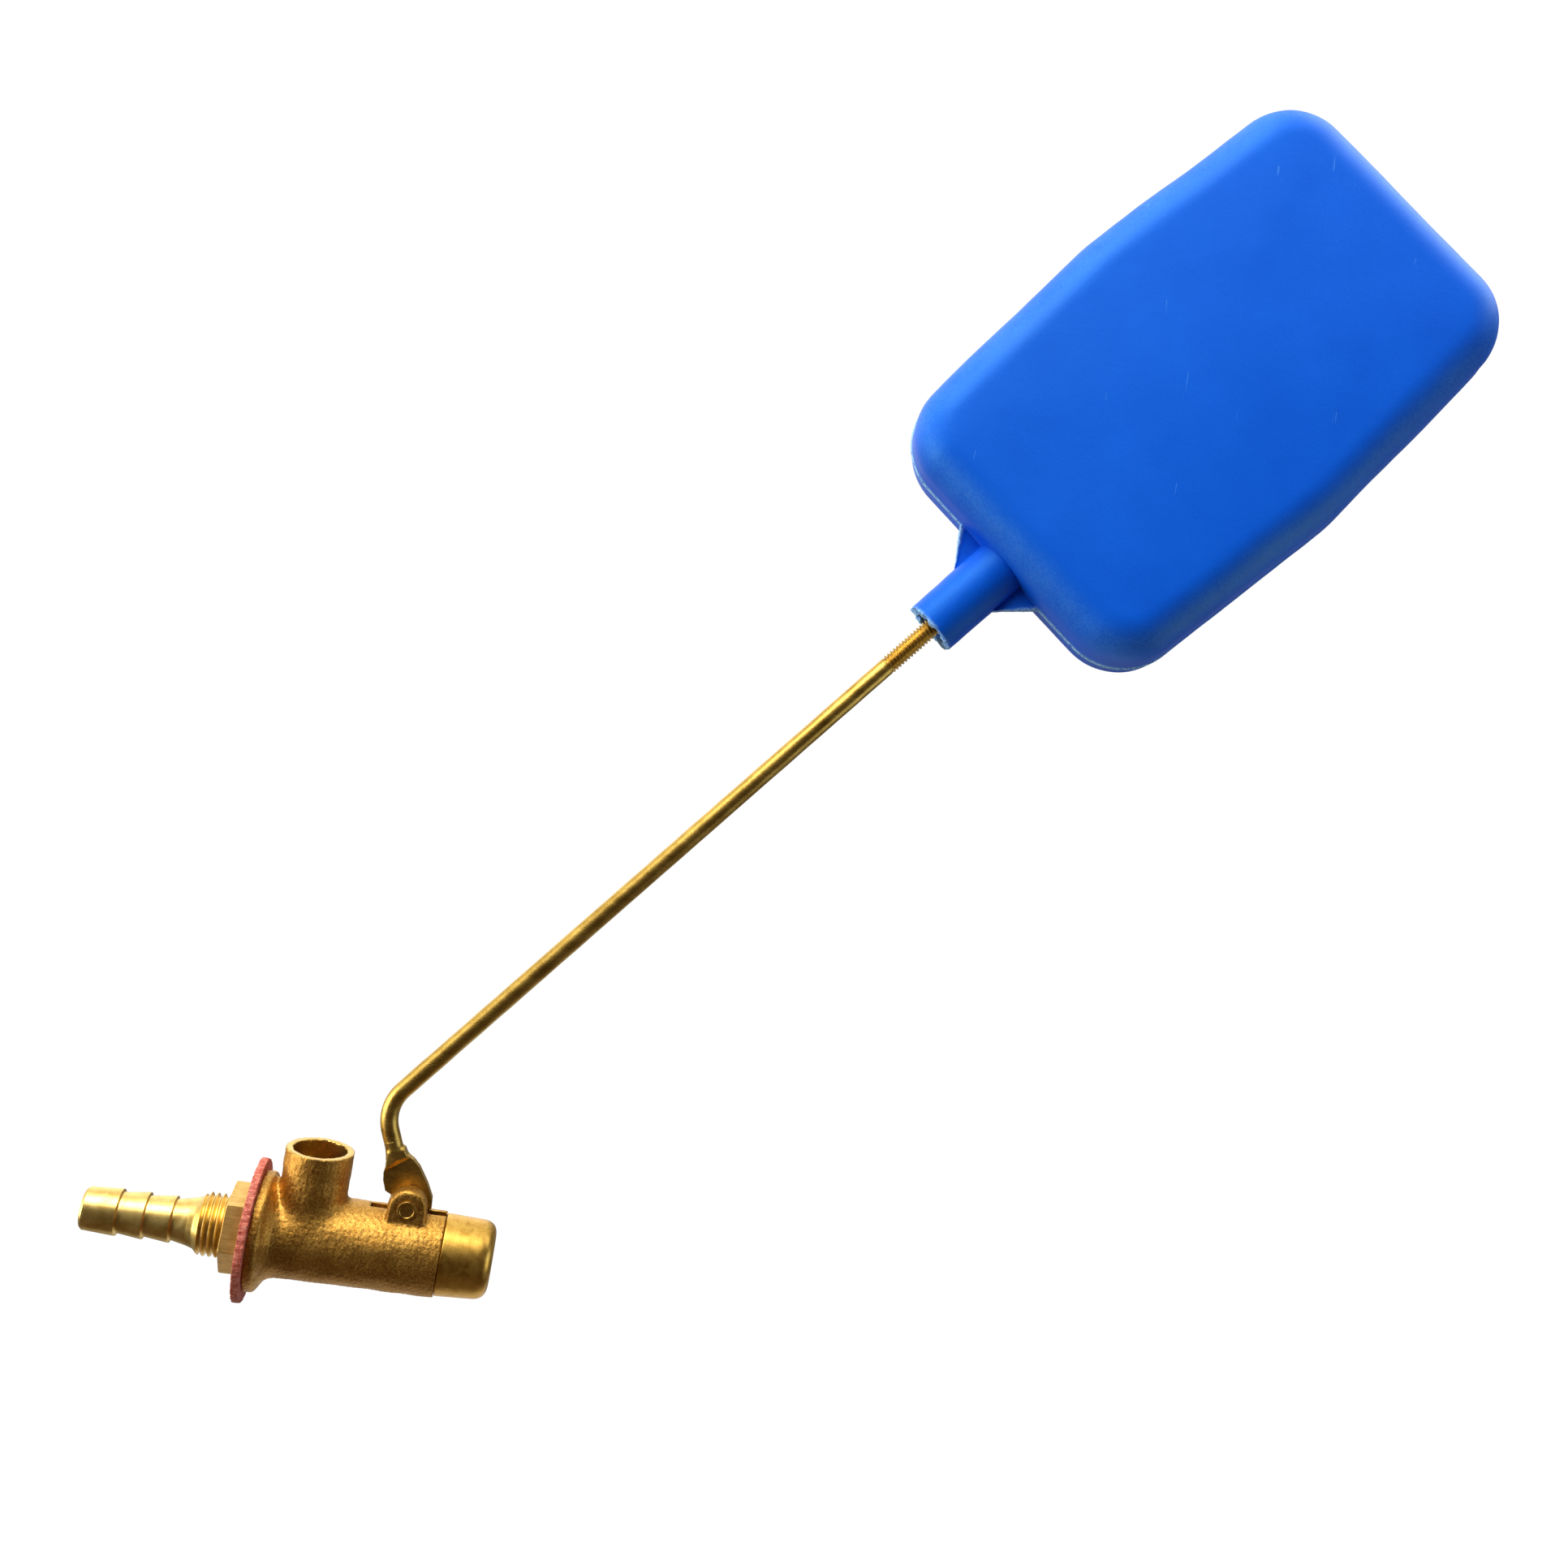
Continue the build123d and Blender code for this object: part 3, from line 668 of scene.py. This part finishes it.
def webSurface(name, side):
    # a plate in the seam's plane, ruled from the neck (v = 0) to its free edge (v = 1); half its
    # thickness grows by exp(-49 (1 - v) squared) to a bead there, and closes in a quarter ellipse
    c = floatBox
    t = np.linspace(0, 1, 26)
    q = np.linspace(-1, 1, 13)
    rise = np.minimum(t * 1.28, 1)
    inner = np.stack([c["webStart"] - 1 + (c["near"] + 5 - c["webStart"]) * t,
                      np.full(len(t), c["neckR"] - 3)], -1)
    outer = np.stack([c["webStart"] + (c["near"] - c["webStart"]) * rise + np.maximum(t - 0.78, 0) * 22,
                      c["neckR"] - 0.2 + (c["webHalf"] - c["neckR"] + 0.2) * rise], -1)
    v = np.linspace(0, 1, 16) ** 0.7
    mid = inner[:, None] + (outer - inner)[:, None] * v[None, :, None]
    bead = np.exp(-((1 - v) * 7) ** 2)
    closing = np.sqrt(np.clip(1 - ((v - 0.90) / 0.10).clip(0, 1) ** 2, 0.02, 1))
    halfT = c["webThick"] / 2 * (0.80 + 0.32 * bead) * closing
    wob = 0.12 * ripple(np.stack([mid[..., 0], mid[..., 1], 0 * mid[..., 0]], -1), 3.0, 61)
    top = toFloat(mid[..., 0], side * (mid[..., 1] + wob * v), halfT)
    low = toFloat(mid[..., 0], side * (mid[..., 1] + wob * v), -halfT)
    loop = np.concatenate([top, low[:, ::-1]], 1)
    piece = tube(name, loop, crease=50)
    shade = np.concatenate([np.broadcast_to(v, top.shape[:2]), np.broadcast_to(v[::-1], top.shape[:2])], 1)
    shade = shade.reshape(-1)
    mark(piece, "trimmed", np.append(np.clip((shade - 0.84) * 9, 0, 1), [0, 0]))
    return piece


webs = [webSurface("floatWebLow", 1), webSurface("floatWebHigh", -1)]


# finishes: shader sums written as Python

class Value:
    # one shader socket; an operator on it makes the Math node that works it out
    def __init__(self, finish, socket):
        # keeps both, so that sums, differences, products, quotients and powers are written as such
        self.finish, self.socket = finish, socket

    def work(self, operation, a, b):
        # the operation carried out on a and b at each point of the surface
        return self.finish.add("ShaderNodeMath", {"operation": operation}, {0: a, 1: b})

    def __add__(self, other):
        return self.work("ADD", self, other)

    def __sub__(self, other):
        return self.work("SUBTRACT", self, other)

    def __rsub__(self, other):
        return self.work("SUBTRACT", other, self)

    def __mul__(self, other):
        return self.work("MULTIPLY", self, other)

    def __truediv__(self, other):
        return self.work("DIVIDE", self, other)

    def __pow__(self, other):
        return self.work("POWER", self, other)

    __radd__ = __add__
    __rmul__ = __mul__


class Finish:
    # a material, or the world, being put together node by node
    def __init__(self, holder):
        # takes a material or a world and empties it
        holder.use_nodes = True
        self.holder, self.tree = holder, holder.node_tree
        self.tree.nodes.clear()

    def add(self, kind, settings=None, inputs=None, out=0):
        # one node: its settings first, then a value or a link for each socket named
        node = self.tree.nodes.new(kind)
        for key, value in (settings or {}).items():
            if key == "stops":
                ramp = node.color_ramp
                while len(ramp.elements) < len(value):
                    ramp.elements.new(0.5)
                for element, (at, colour) in zip(ramp.elements, value):
                    element.position, element.color = at, (*colour, 1)
            else:
                setattr(node, key, value)
        for key, value in (inputs or {}).items():
            if isinstance(value, Value):
                self.tree.links.new(value.socket, node.inputs[key])
            elif isinstance(value, tuple) and node.inputs[key].type == "RGBA":
                node.inputs[key].default_value = (*value, 1)
            else:
                node.inputs[key].default_value = value
        return Value(self, node.outputs[out]) if len(node.outputs) else None

    def place(self, stretch=(1, 1, 1), turn=0.0):
        # where the point is, in millimetres: each coordinate times its stretch, so that a pattern is drawn
        # out along the axes with a small one, then all turned about Y, which only moves the pattern on
        at = self.add("ShaderNodeTexCoord", out="Object")
        return self.add("ShaderNodeMapping", {"vector_type": "POINT"}, {
            "Vector": at, "Rotation": (0.0, turn, 0.0), "Scale": tuple(k / mm for k in stretch)})

    def apart(self, vector):
        # the x, y and z of a vector
        split = self.tree.nodes.new("ShaderNodeSeparateXYZ")
        self.tree.links.new(vector.socket, split.inputs[0])
        return [Value(self, s) for s in split.outputs]

    def joined(self, x, y, z=0.0):
        # the vector (x, y, z)
        return self.add("ShaderNodeCombineXYZ", inputs={0: x, 1: y, 2: z})

    def noise(self, where, size, detail=2.0, rough=0.5, warp=0.0):
        # cloudy pattern from 0 to 1 with spots of about one size
        return self.add("ShaderNodeTexNoise", {"noise_dimensions": "3D"}, {
            "Vector": where, "Scale": 1 / size, "Detail": detail, "Roughness": rough, "Distortion": warp})

    def pits(self, where, size, feature="F1"):
        # distance to the nearest of many scattered points, about size apart
        inputs = {"Vector": where, "Scale": 1 / size}
        return self.add("ShaderNodeTexVoronoi", {"feature": feature}, inputs, "Distance")

    def step(self, value, low, high):
        # 0 below low, 1 above high, and smooth between
        return self.add("ShaderNodeMapRange", {"interpolation_type": "SMOOTHSTEP"}, {
            "Value": value, "From Min": low, "From Max": high, "To Min": 0.0, "To Max": 1.0})

    def blend(self, part, a, b):
        # colour a (1 - part) + b part
        return self.add("ShaderNodeMix", {"data_type": "RGBA"}, {"Factor": part, 6: a, 7: b}, 2)

    def ramp(self, value, stops):
        # colour read off a scale at value, straight between its stops
        return self.add("ShaderNodeValToRGB", {"stops": stops}, {"Fac": value})

    def bump(self, height, depth, under=None):
        # height from 0 to 1 stands for depth millimetres
        inputs = {"Height": height, "Distance": depth * mm, "Strength": 1.0}
        if under:
            inputs["Normal"] = under
        return self.add("ShaderNodeBump", None, inputs)

    def marked(self, name):
        # the number that mark() left on each point
        return self.add("ShaderNodeAttribute", {"attribute_name": name}, None, "Fac")

    def rings(self, size, centre=(0, 0), axis="X"):
        # lathe marks: noise that depends only on the distance along the axis and from it
        x, y, z = self.apart(self.place())
        s, a, b = {"X": (x, y, z), "Y": (y, x, z), "Z": (z, x, y)}[axis]
        r = ((a - centre[0]) ** 2 + (b - centre[1]) ** 2) ** 0.5
        return self.noise(self.joined(s, r), size, 3, 0.6)

    def close(self, **sockets):
        # the finished shader; an underscore in a name stands for the space in the socket's
        named = {key.replace("_", " "): value for key, value in sockets.items()}
        shader = self.add("ShaderNodeBsdfPrincipled", None, named)
        self.add("ShaderNodeOutputMaterial", None, {"Surface": shader})
        return self.holder


def newFinish(name):
    # an empty material to put together
    return Finish(bpy.data.materials.new(name))


castLook = {"light": (0.80, 0.475, 0.108), "dark": (0.37, 0.165, 0.024), "soot": (0.12, 0.05, 0.012),
            "cut": (0.84, 0.56, 0.15), "cutDark": (0.55, 0.33, 0.08), "rough": 0.42, "grain": 0.55,
            "depth": 0.075}


def castFinish():
    # blasted sand casting: fine pebbled skin, tan on the high grains and brown between, partly grain tone and
    # partly painted shade in the hollows; bright where it is cut
    c, f = castLook, newFinish("castBrass")
    p = f.place()
    grain = f.noise(p, c["grain"], 2.5, 0.62)
    pebble = f.pits(p, c["grain"] * 1.5, "SMOOTH_F1")
    cloud = f.noise(p, 9, 3, 0.6)
    hole = f.step(f.pits(p, 3.1), 0.0, 0.16)
    between = tuple((a + b) / 2 for a, b in zip(c["light"], c["dark"]))
    # colour follows the bump's height: grain tone plus painted shade in the hollows between grains, paler on
    # the high ones
    skinWithHollowShade = f.ramp(grain * 0.85 + cloud * 0.25 - pebble * 0.12,
                  [(0.36, c["dark"]), (0.52, between), (0.70, c["light"])])
    stain = f.step(f.noise(p, 17, 4, 0.65), 0.60, 0.78) * 0.55
    skinWithHollowShade = f.blend(stain, skinWithHollowShade, c["soot"])
    cut = f.marked("cutFace")
    ring = f.rings(0.16)
    machined = f.ramp(f.noise(p, 5, 3) * 0.6 + ring * 0.4, [(0.3, c["cutDark"]), (0.65, c["cut"])])
    height = grain * 0.8 - pebble * 0.35 + cloud * 0.2 + hole * 0.3
    lumps = f.bump(height * (1 - cut) + ring * cut * 0.12, c["depth"] * 2)
    return f.close(Base_Color=f.blend(cut, skinWithHollowShade, machined), Metallic=1.0,
                   Roughness=c["rough"] + grain * 0.14 - cut * 0.2, Normal=lumps)


turnedLook = {
    "shankBrass": {"light": (0.90, 0.66, 0.225), "dark": (0.70, 0.45, 0.10),
                   "rough": 0.32, "ring": 0.17, "depth": 0.010, "blot": 5.0},
    "capBrass": {"light": (0.84, 0.51, 0.105), "dark": (0.56, 0.29, 0.040),
                 "rough": 0.34, "ring": 0.24, "depth": 0.009, "blot": 3.4},
    "nozzleBrass": {"light": (0.80, 0.58, 0.20), "dark": (0.55, 0.36, 0.10),
                    "rough": 0.28, "ring": 0.2, "depth": 0.008, "blot": 4.0},
    "pistonBrass": {"light": (0.78, 0.56, 0.20), "dark": (0.52, 0.34, 0.10),
                    "rough": 0.30, "ring": 0.2, "depth": 0.008, "blot": 5.0},
    "retainerBrass": {"light": (0.80, 0.60, 0.24), "dark": (0.58, 0.40, 0.14),
                      "rough": 0.26, "ring": 0.22, "depth": 0.008, "blot": 4.0},
}


def turnedFinish(name):
    # lathe-cut brass: fine rings, faint blotches of tarnish, small knocks
    c, f = turnedLook[name], newFinish(name)
    p = f.place()
    ring = f.rings(c["ring"])
    blot = f.noise(p, c["blot"], 4, 0.62, 0.6)
    speck = f.step(f.noise(p, 0.7, 2, 0.6), 0.70, 0.80)
    tone = f.ramp(blot * 0.75 + ring * 0.3, [(0.36, c["dark"]), (0.60, c["light"])])
    tone = f.blend(speck * 0.45, tone, tuple(0.35 * k for k in c["dark"]))
    knock = f.step(f.noise(p, 1.9, 3, 0.7), 0.66, 0.72)
    normal = f.bump(ring + knock * 2.0, c["depth"])
    return f.close(Base_Color=tone, Metallic=1.0, Roughness=c["rough"] + blot * 0.16 + speck * 0.2 - 0.05,
                   Normal=normal)


nutLook = {"light": (0.84, 0.57, 0.19), "dark": (0.58, 0.35, 0.085), "rough": 0.42}


def nutFinish():
    # drawn hexagon bar: streaks that run along the axis on the flats, rings on the faces
    c, f = nutLook, newFinish("nutBrass")
    streak = f.noise(f.place((0.07, 1, 1)), 0.42, 3, 0.6)
    blot = f.noise(f.place(), 4.5, 3, 0.6)
    ring = f.rings(0.3)
    tone = f.ramp(streak * 0.55 + blot * 0.5, [(0.38, c["dark"]), (0.64, c["light"])])
    return f.close(Base_Color=tone, Metallic=1.0, Roughness=c["rough"] + streak * 0.14 - 0.04,
                   Normal=f.bump(streak * 0.7 + ring * 0.5, 0.016))


pinLook = {"light": (0.66, 0.40, 0.09), "dark": (0.38, 0.20, 0.035), "rough": 0.32}


def pinFinish():
    # hammered pin end: rings about the pin's own axis and small dark blots
    c, f = pinLook, newFinish("pinBrass")
    p = f.place()
    ring = f.rings(0.25, (pin[0], pin[2]), "Y")
    blot = f.noise(p, 1.4, 3, 0.6)
    tone = f.ramp(blot * 0.7 + ring * 0.3, [(0.36, c["dark"]), (0.62, c["light"])])
    return f.close(Base_Color=tone, Metallic=1.0, Roughness=c["rough"] + blot * 0.15,
                   Normal=f.bump(ring + blot, 0.02))


armLook = {"light": (0.74, 0.49, 0.115), "dark": (0.42, 0.245, 0.040), "stain": (0.15, 0.08, 0.02),
           "rough": 0.31, "depth": 0.010}


def armFinish(name, stretch, size):
    # drawn bar: fine scratches and patches of tarnish, both drawn out along X, so they slant on the rod
    c, f = armLook, newFinish(name)
    turn = math.atan2(lie[1], lie[0])
    streak = f.noise(f.place((stretch, 1, 1), turn), size, 3, 0.62)
    patch = f.noise(f.place((0.25, 1, 1), turn), 5.0, 4, 0.62)
    dot = f.step(f.noise(f.place(), 0.8, 2, 0.6), 0.66, 0.76)
    tone = f.ramp(streak * 0.55 + patch * 0.5, [(0.36, c["dark"]), (0.64, c["light"])])
    tone = f.blend(dot * 0.5, tone, c["stain"])
    return f.close(Base_Color=tone, Metallic=1.0, Roughness=c["rough"] + patch * 0.2 - 0.04,
                   Normal=f.bump(streak + dot * 0.6, c["depth"]))


fibreLook = {"base": (0.58, 0.095, 0.055), "pale": (0.86, 0.36, 0.26), "deep": (0.24, 0.028, 0.018),
             "rough": 0.72}


def fibreFinish():
    # pressed red fibre: strands along Y crossed with strands along Z, their colour deep between the strands
    # and pale on top, partly strand tone and partly painted shade and painted highlight; paler again at the
    # rim where the strands stand high
    c, f = fibreLook, newFinish("redFibre")
    across = f.noise(f.place((0.5, 0.35, 2.6), 0.0), 0.8, 3, 0.62, 0.5)
    along = f.noise(f.place((0.5, 2.4, 0.35), 0.0), 0.8, 3, 0.62, 0.5)
    cloud = f.noise(f.place(), 3.2, 3, 0.6)
    weave = across * 0.5 + along * 0.5
    x, y, z = f.apart(f.place())
    rim = f.step((y ** 2 + z ** 2) ** 0.5, 21.6, 22.6)
    # painted shade and painted highlight: the deep and pale stops follow the weave that also makes the bump
    tone = f.ramp(weave * 0.8 + cloud * 0.3, [(0.36, c["deep"]), (0.52, c["base"]), (0.72, c["pale"])])
    # paler at the rim where the weave is high
    tone = f.blend(rim * f.step(weave, 0.45, 0.6) * 0.45, tone, c["pale"])
    return f.close(Base_Color=tone, Roughness=c["rough"], Normal=f.bump(weave + cloud * 0.4, 0.20))


def rubberFinish():
    # moulded rubber: a fine matt skin with a faint grey bloom
    f = newFinish("blackRubber")
    p = f.place()
    fine, bloom = f.noise(p, 0.35, 3, 0.6), f.noise(p, 3, 3, 0.6)
    return f.close(Base_Color=f.ramp(bloom, [(0.35, (0.012, 0.012, 0.013)), (0.7, (0.035, 0.034, 0.033))]),
                   Roughness=0.62 + bloom * 0.15, Normal=f.bump(fine, 0.02))


plasticLook = {"base": (0.0006, 0.100, 0.730), "deep": (0.0004, 0.086, 0.680), "pale": (0.12, 0.40, 0.86),
               "trimmed": (0.38, 0.68, 0.94), "sheen": (0.22, 0.80, 0.70), "rough": 0.43, "depth": 0.075,
               "scuff": (1, 0.12, 0.03)}


def plasticFinish():
    # blow-moulded polyethylene: leathery fine grain, cloudy colour, hairline scratches, paler where it
    # is trimmed, and a painted highlight along the rounded edges
    c, f = plasticLook, newFinish("bluePlastic")
    p = f.place()
    leather = f.noise(p, 0.75, 3, 0.6, 0.4)
    cloud = f.noise(p, 26, 3, 0.55)
    scuff = f.noise(f.place(c["scuff"], 0.5), 0.60, 1, 0.5) * f.step(f.noise(p, 14, 2), 0.60, 0.70)
    scratch = f.step(scuff, 0.66, 0.74)
    patch = f.step(f.noise(f.place((1.2, 1, 1.1)), 17, 2), 0.60, 0.70)
    other = f.noise(f.place(c["scuff"], -0.9), 0.60, 1, 0.5) * patch
    scratch = scratch + f.step(other, 0.66, 0.74)
    trim = f.marked("trimmed") * f.step(f.noise(p, 0.8, 3, 0.7), 0.30, 0.55)
    tone = f.ramp(cloud * 0.8 + leather * 0.2, [(0.35, c["deep"]), (0.65, c["base"])])
    # painted highlight: the rounded edges blended towards pale, broken up by the leather grain and a noise
    highlightMask = f.marked("rubbed") * f.step(leather * 0.6 + f.noise(p, 16, 3, 0.6) * 0.4, 0.30, 0.70)
    tone = f.blend(highlightMask * 0.26, tone, c["pale"])
    tone = f.blend(scratch * 0.32, tone, c["pale"])
    tone = f.blend(trim * 0.9, tone, c["trimmed"])
    height = leather * 0.9 + f.noise(p, 2.6, 2) * 0.6 - scratch * 0.25 + trim * 0.5
    rough = c["rough"] + leather * 0.10 + cloud * 0.04 + scratch * 0.15 + trim * 0.2
    return f.close(Base_Color=tone, Roughness=rough, Specular_Tint=c["sheen"],
                   Normal=f.bump(height, c["depth"]))


looks = {
    "cast": castFinish(), "shank": turnedFinish("shankBrass"), "nut": nutFinish(),
    "fibre": fibreFinish(), "cap": turnedFinish("capBrass"), "pin": pinFinish(),
    "rod": armFinish("rodBrass", 0.035, 0.30), "blade": armFinish("bladeBrass", 0.3, 0.55),
    "plastic": plasticFinish(), "nozzle": turnedFinish("nozzleBrass"), "piston": turnedFinish("pistonBrass"),
    "retainer": turnedFinish("retainerBrass"), "rubber": rubberFinish(),
}
print("finishes made:", len(looks))


# which piece stands for which part, on which body

standing = [
    (castBody, "cast", "valve", "valve_body", "cast_brass"),
    (shankBar, "shank", "valve", "valve_body", "cast_brass"),
    (lockNut, "nut", "valve", "lock_nut", "nut_brass"),
    (fibreRing, "fibre", "valve", "fibre_washer", "red_fibre"),
    (endCap, "cap", "valve", "end_cap", "cap_brass"),
    (pinPiece, "pin", "valve", "pivot_pin", "pin_brass"),
    (armBlade, "blade", "float_arm", "lever_arm", "arm_brass"),
    (armRod, "rod", "float_arm", "lever_arm", "arm_brass"),
    (floatShell, "plastic", "float_arm", "float_shell", "blue_plastic"),
    (floatNeck, "plastic", "float_arm", "float_shell", "blue_plastic"),
    (webs[0], "plastic", "float_arm", "float_shell", "blue_plastic"),
    (webs[1], "plastic", "float_arm", "float_shell", "blue_plastic"),
]
for piece, look, body, node, slot in standing:
    piece.data.materials.append(looks[look])
    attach(piece, body)
    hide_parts(node)

kept = {"seat_nozzle": ("nozzle", "nozzle_brass"), "piston": ("piston", "piston_brass"),
        "washer_retainer": ("retainer", "retainer_brass"), "piston_washer": ("rubber", "washer_rubber"),
        "float_insert": ("retainer", "insert_brass")}
for node, (look, slot) in kept.items():
    frame["nodes"][node].data.materials.clear()
    frame["nodes"][node].data.materials.append(looks[look])
print("pieces placed:", len(standing), "and", len(kept), "from the CAD model")


# stage, lights and camera

stage = {"floor": -0.95, "radius": 3.2, "top": 2.6, "white": 1.02}


def stageBowl():
    # floor disc that curves up into a wall and a dome, seen by the camera and by nothing else
    c = stage
    corners = [(c["floor"], 0.01), (c["floor"], c["radius"]), (c["top"], c["radius"]), (c["top"] + 1.2, 0.01)]
    path = rounded(corners, [0, 1.2, 1.6, 0], 14)
    bowl = turned("stageBowl", path[:, 0] / mm, path[:, 1] / mm, 72, axis="Z", crease=180)
    f = newFinish("stageWhite")
    glow = f.add("ShaderNodeEmission", None, {"Color": (1.0, 1.0, 1.0), "Strength": c["white"]})
    f.add("ShaderNodeOutputMaterial", None, {"Surface": glow})
    bowl.data.materials.append(f.holder)
    bowl.visible_diffuse = bowl.visible_glossy = bowl.visible_transmission = bowl.visible_shadow = False


stageBowl()

lights = {
    # name: direction it comes from, distance, width, height, watts, colour
    "keyLight": ((-0.42, 0.36, -0.83), 1.15, 0.8, 0.8, 15.5, (1.0, 0.99, 0.95)),
    "leftLight": ((-0.93, 0.18, 0.14), 1.05, 0.7, 0.7, 8.0, (1.0, 0.99, 0.96)),
    "endLight": ((0.60, 0.02, -0.80), 0.50, 0.3, 0.3, 0.9, (1.0, 1.0, 1.0)),
    "farLight": ((0.92, 0.28, 0.22), 0.60, 0.4, 0.4, 0.9, (0.78, 0.89, 1.0)),
    "topLight": ((0.15, -0.40, 0.90), 1.3, 1.2, 1.2, 2.4, (0.96, 0.98, 1.0)),
    "backLight": ((-0.3, -0.95, -0.15), 1.5, 1.2, 1.2, 3.0, (1.0, 1.0, 1.0)),
}
middle = (cadBox[0] + cadBox[1]) / 2
for name, (way, far, wide, high, watts, colour) in lights.items():
    lamp = bpy.data.lights.new(name, "AREA")
    lamp.shape, lamp.size, lamp.size_y, lamp.energy, lamp.color = "RECTANGLE", wide, high, watts, colour
    holder = bpy.data.objects.new(name, lamp)
    bpy.context.scene.collection.objects.link(holder)
    out = Vector(way).normalized()
    holder.location = middle + out * far
    holder.rotation_mode = "QUATERNION"
    holder.rotation_quaternion = out.to_track_quat("Z", "Y")
    holder.visible_camera = False

room = {"low": 0.045, "behind": 0.20, "over": 1.0, "floor": 0.06, "warm": (1.0, 0.66, 0.38),
        "white": (1.0, 0.99, 0.96)}


def roomLight():
    # studio as the surfaces see it: bright paper behind, lit ceiling on the key's side, dim elsewhere
    c = room
    f = Finish(bpy.data.worlds.new("room"))
    x, y, z = f.apart(f.add("ShaderNodeTexCoord", out="Generated"))
    behind = f.step(0 - y, 0.15, 0.85)
    over = f.step((0 - z) * 0.72 - x * 0.45 - y * 0.45, 0.15, 1.0)
    floor = f.step(z, 0.3, 0.9)
    level = behind * c["behind"] + over * c["over"] + floor * c["floor"] + c["low"]
    tint = f.blend(f.step(behind + over, 0.0, 0.6), c["warm"], c["white"])
    glow = f.add("ShaderNodeBackground", None, {"Color": tint, "Strength": level})
    f.add("ShaderNodeOutputWorld", None, {"Surface": glow})
    bpy.context.scene.world = f.holder


roomLight()

view = {"at": (66.4, 519.2, -213.0), "right": (0.9743, 0.1278, -0.1856),
        "up": (-0.1732, -0.1023, -0.9796), "lens": 36.9}


def makeCamera():
    # the eye stands on the hinge's +Y side and is turned so that the spout points up
    c = view
    right, up = Vector(c["right"]).normalized(), Vector(c["up"])
    up = (up - right * up.dot(right)).normalized()
    back = right.cross(up)
    lens = bpy.data.cameras.new("camera")
    lens.sensor_width, lens.lens, lens.clip_start, lens.clip_end = 36.0, c["lens"], 0.01, 20.0
    eye = bpy.data.objects.new("camera", lens)
    bpy.context.scene.collection.objects.link(eye)
    turn = Matrix((right, up, back)).transposed().to_4x4()
    eye.matrix_world = Matrix.Translation(Vector(c["at"]) * mm) @ turn
    bpy.context.scene.camera = eye


makeCamera()
bpy.context.scene.view_settings.view_transform = "Standard"
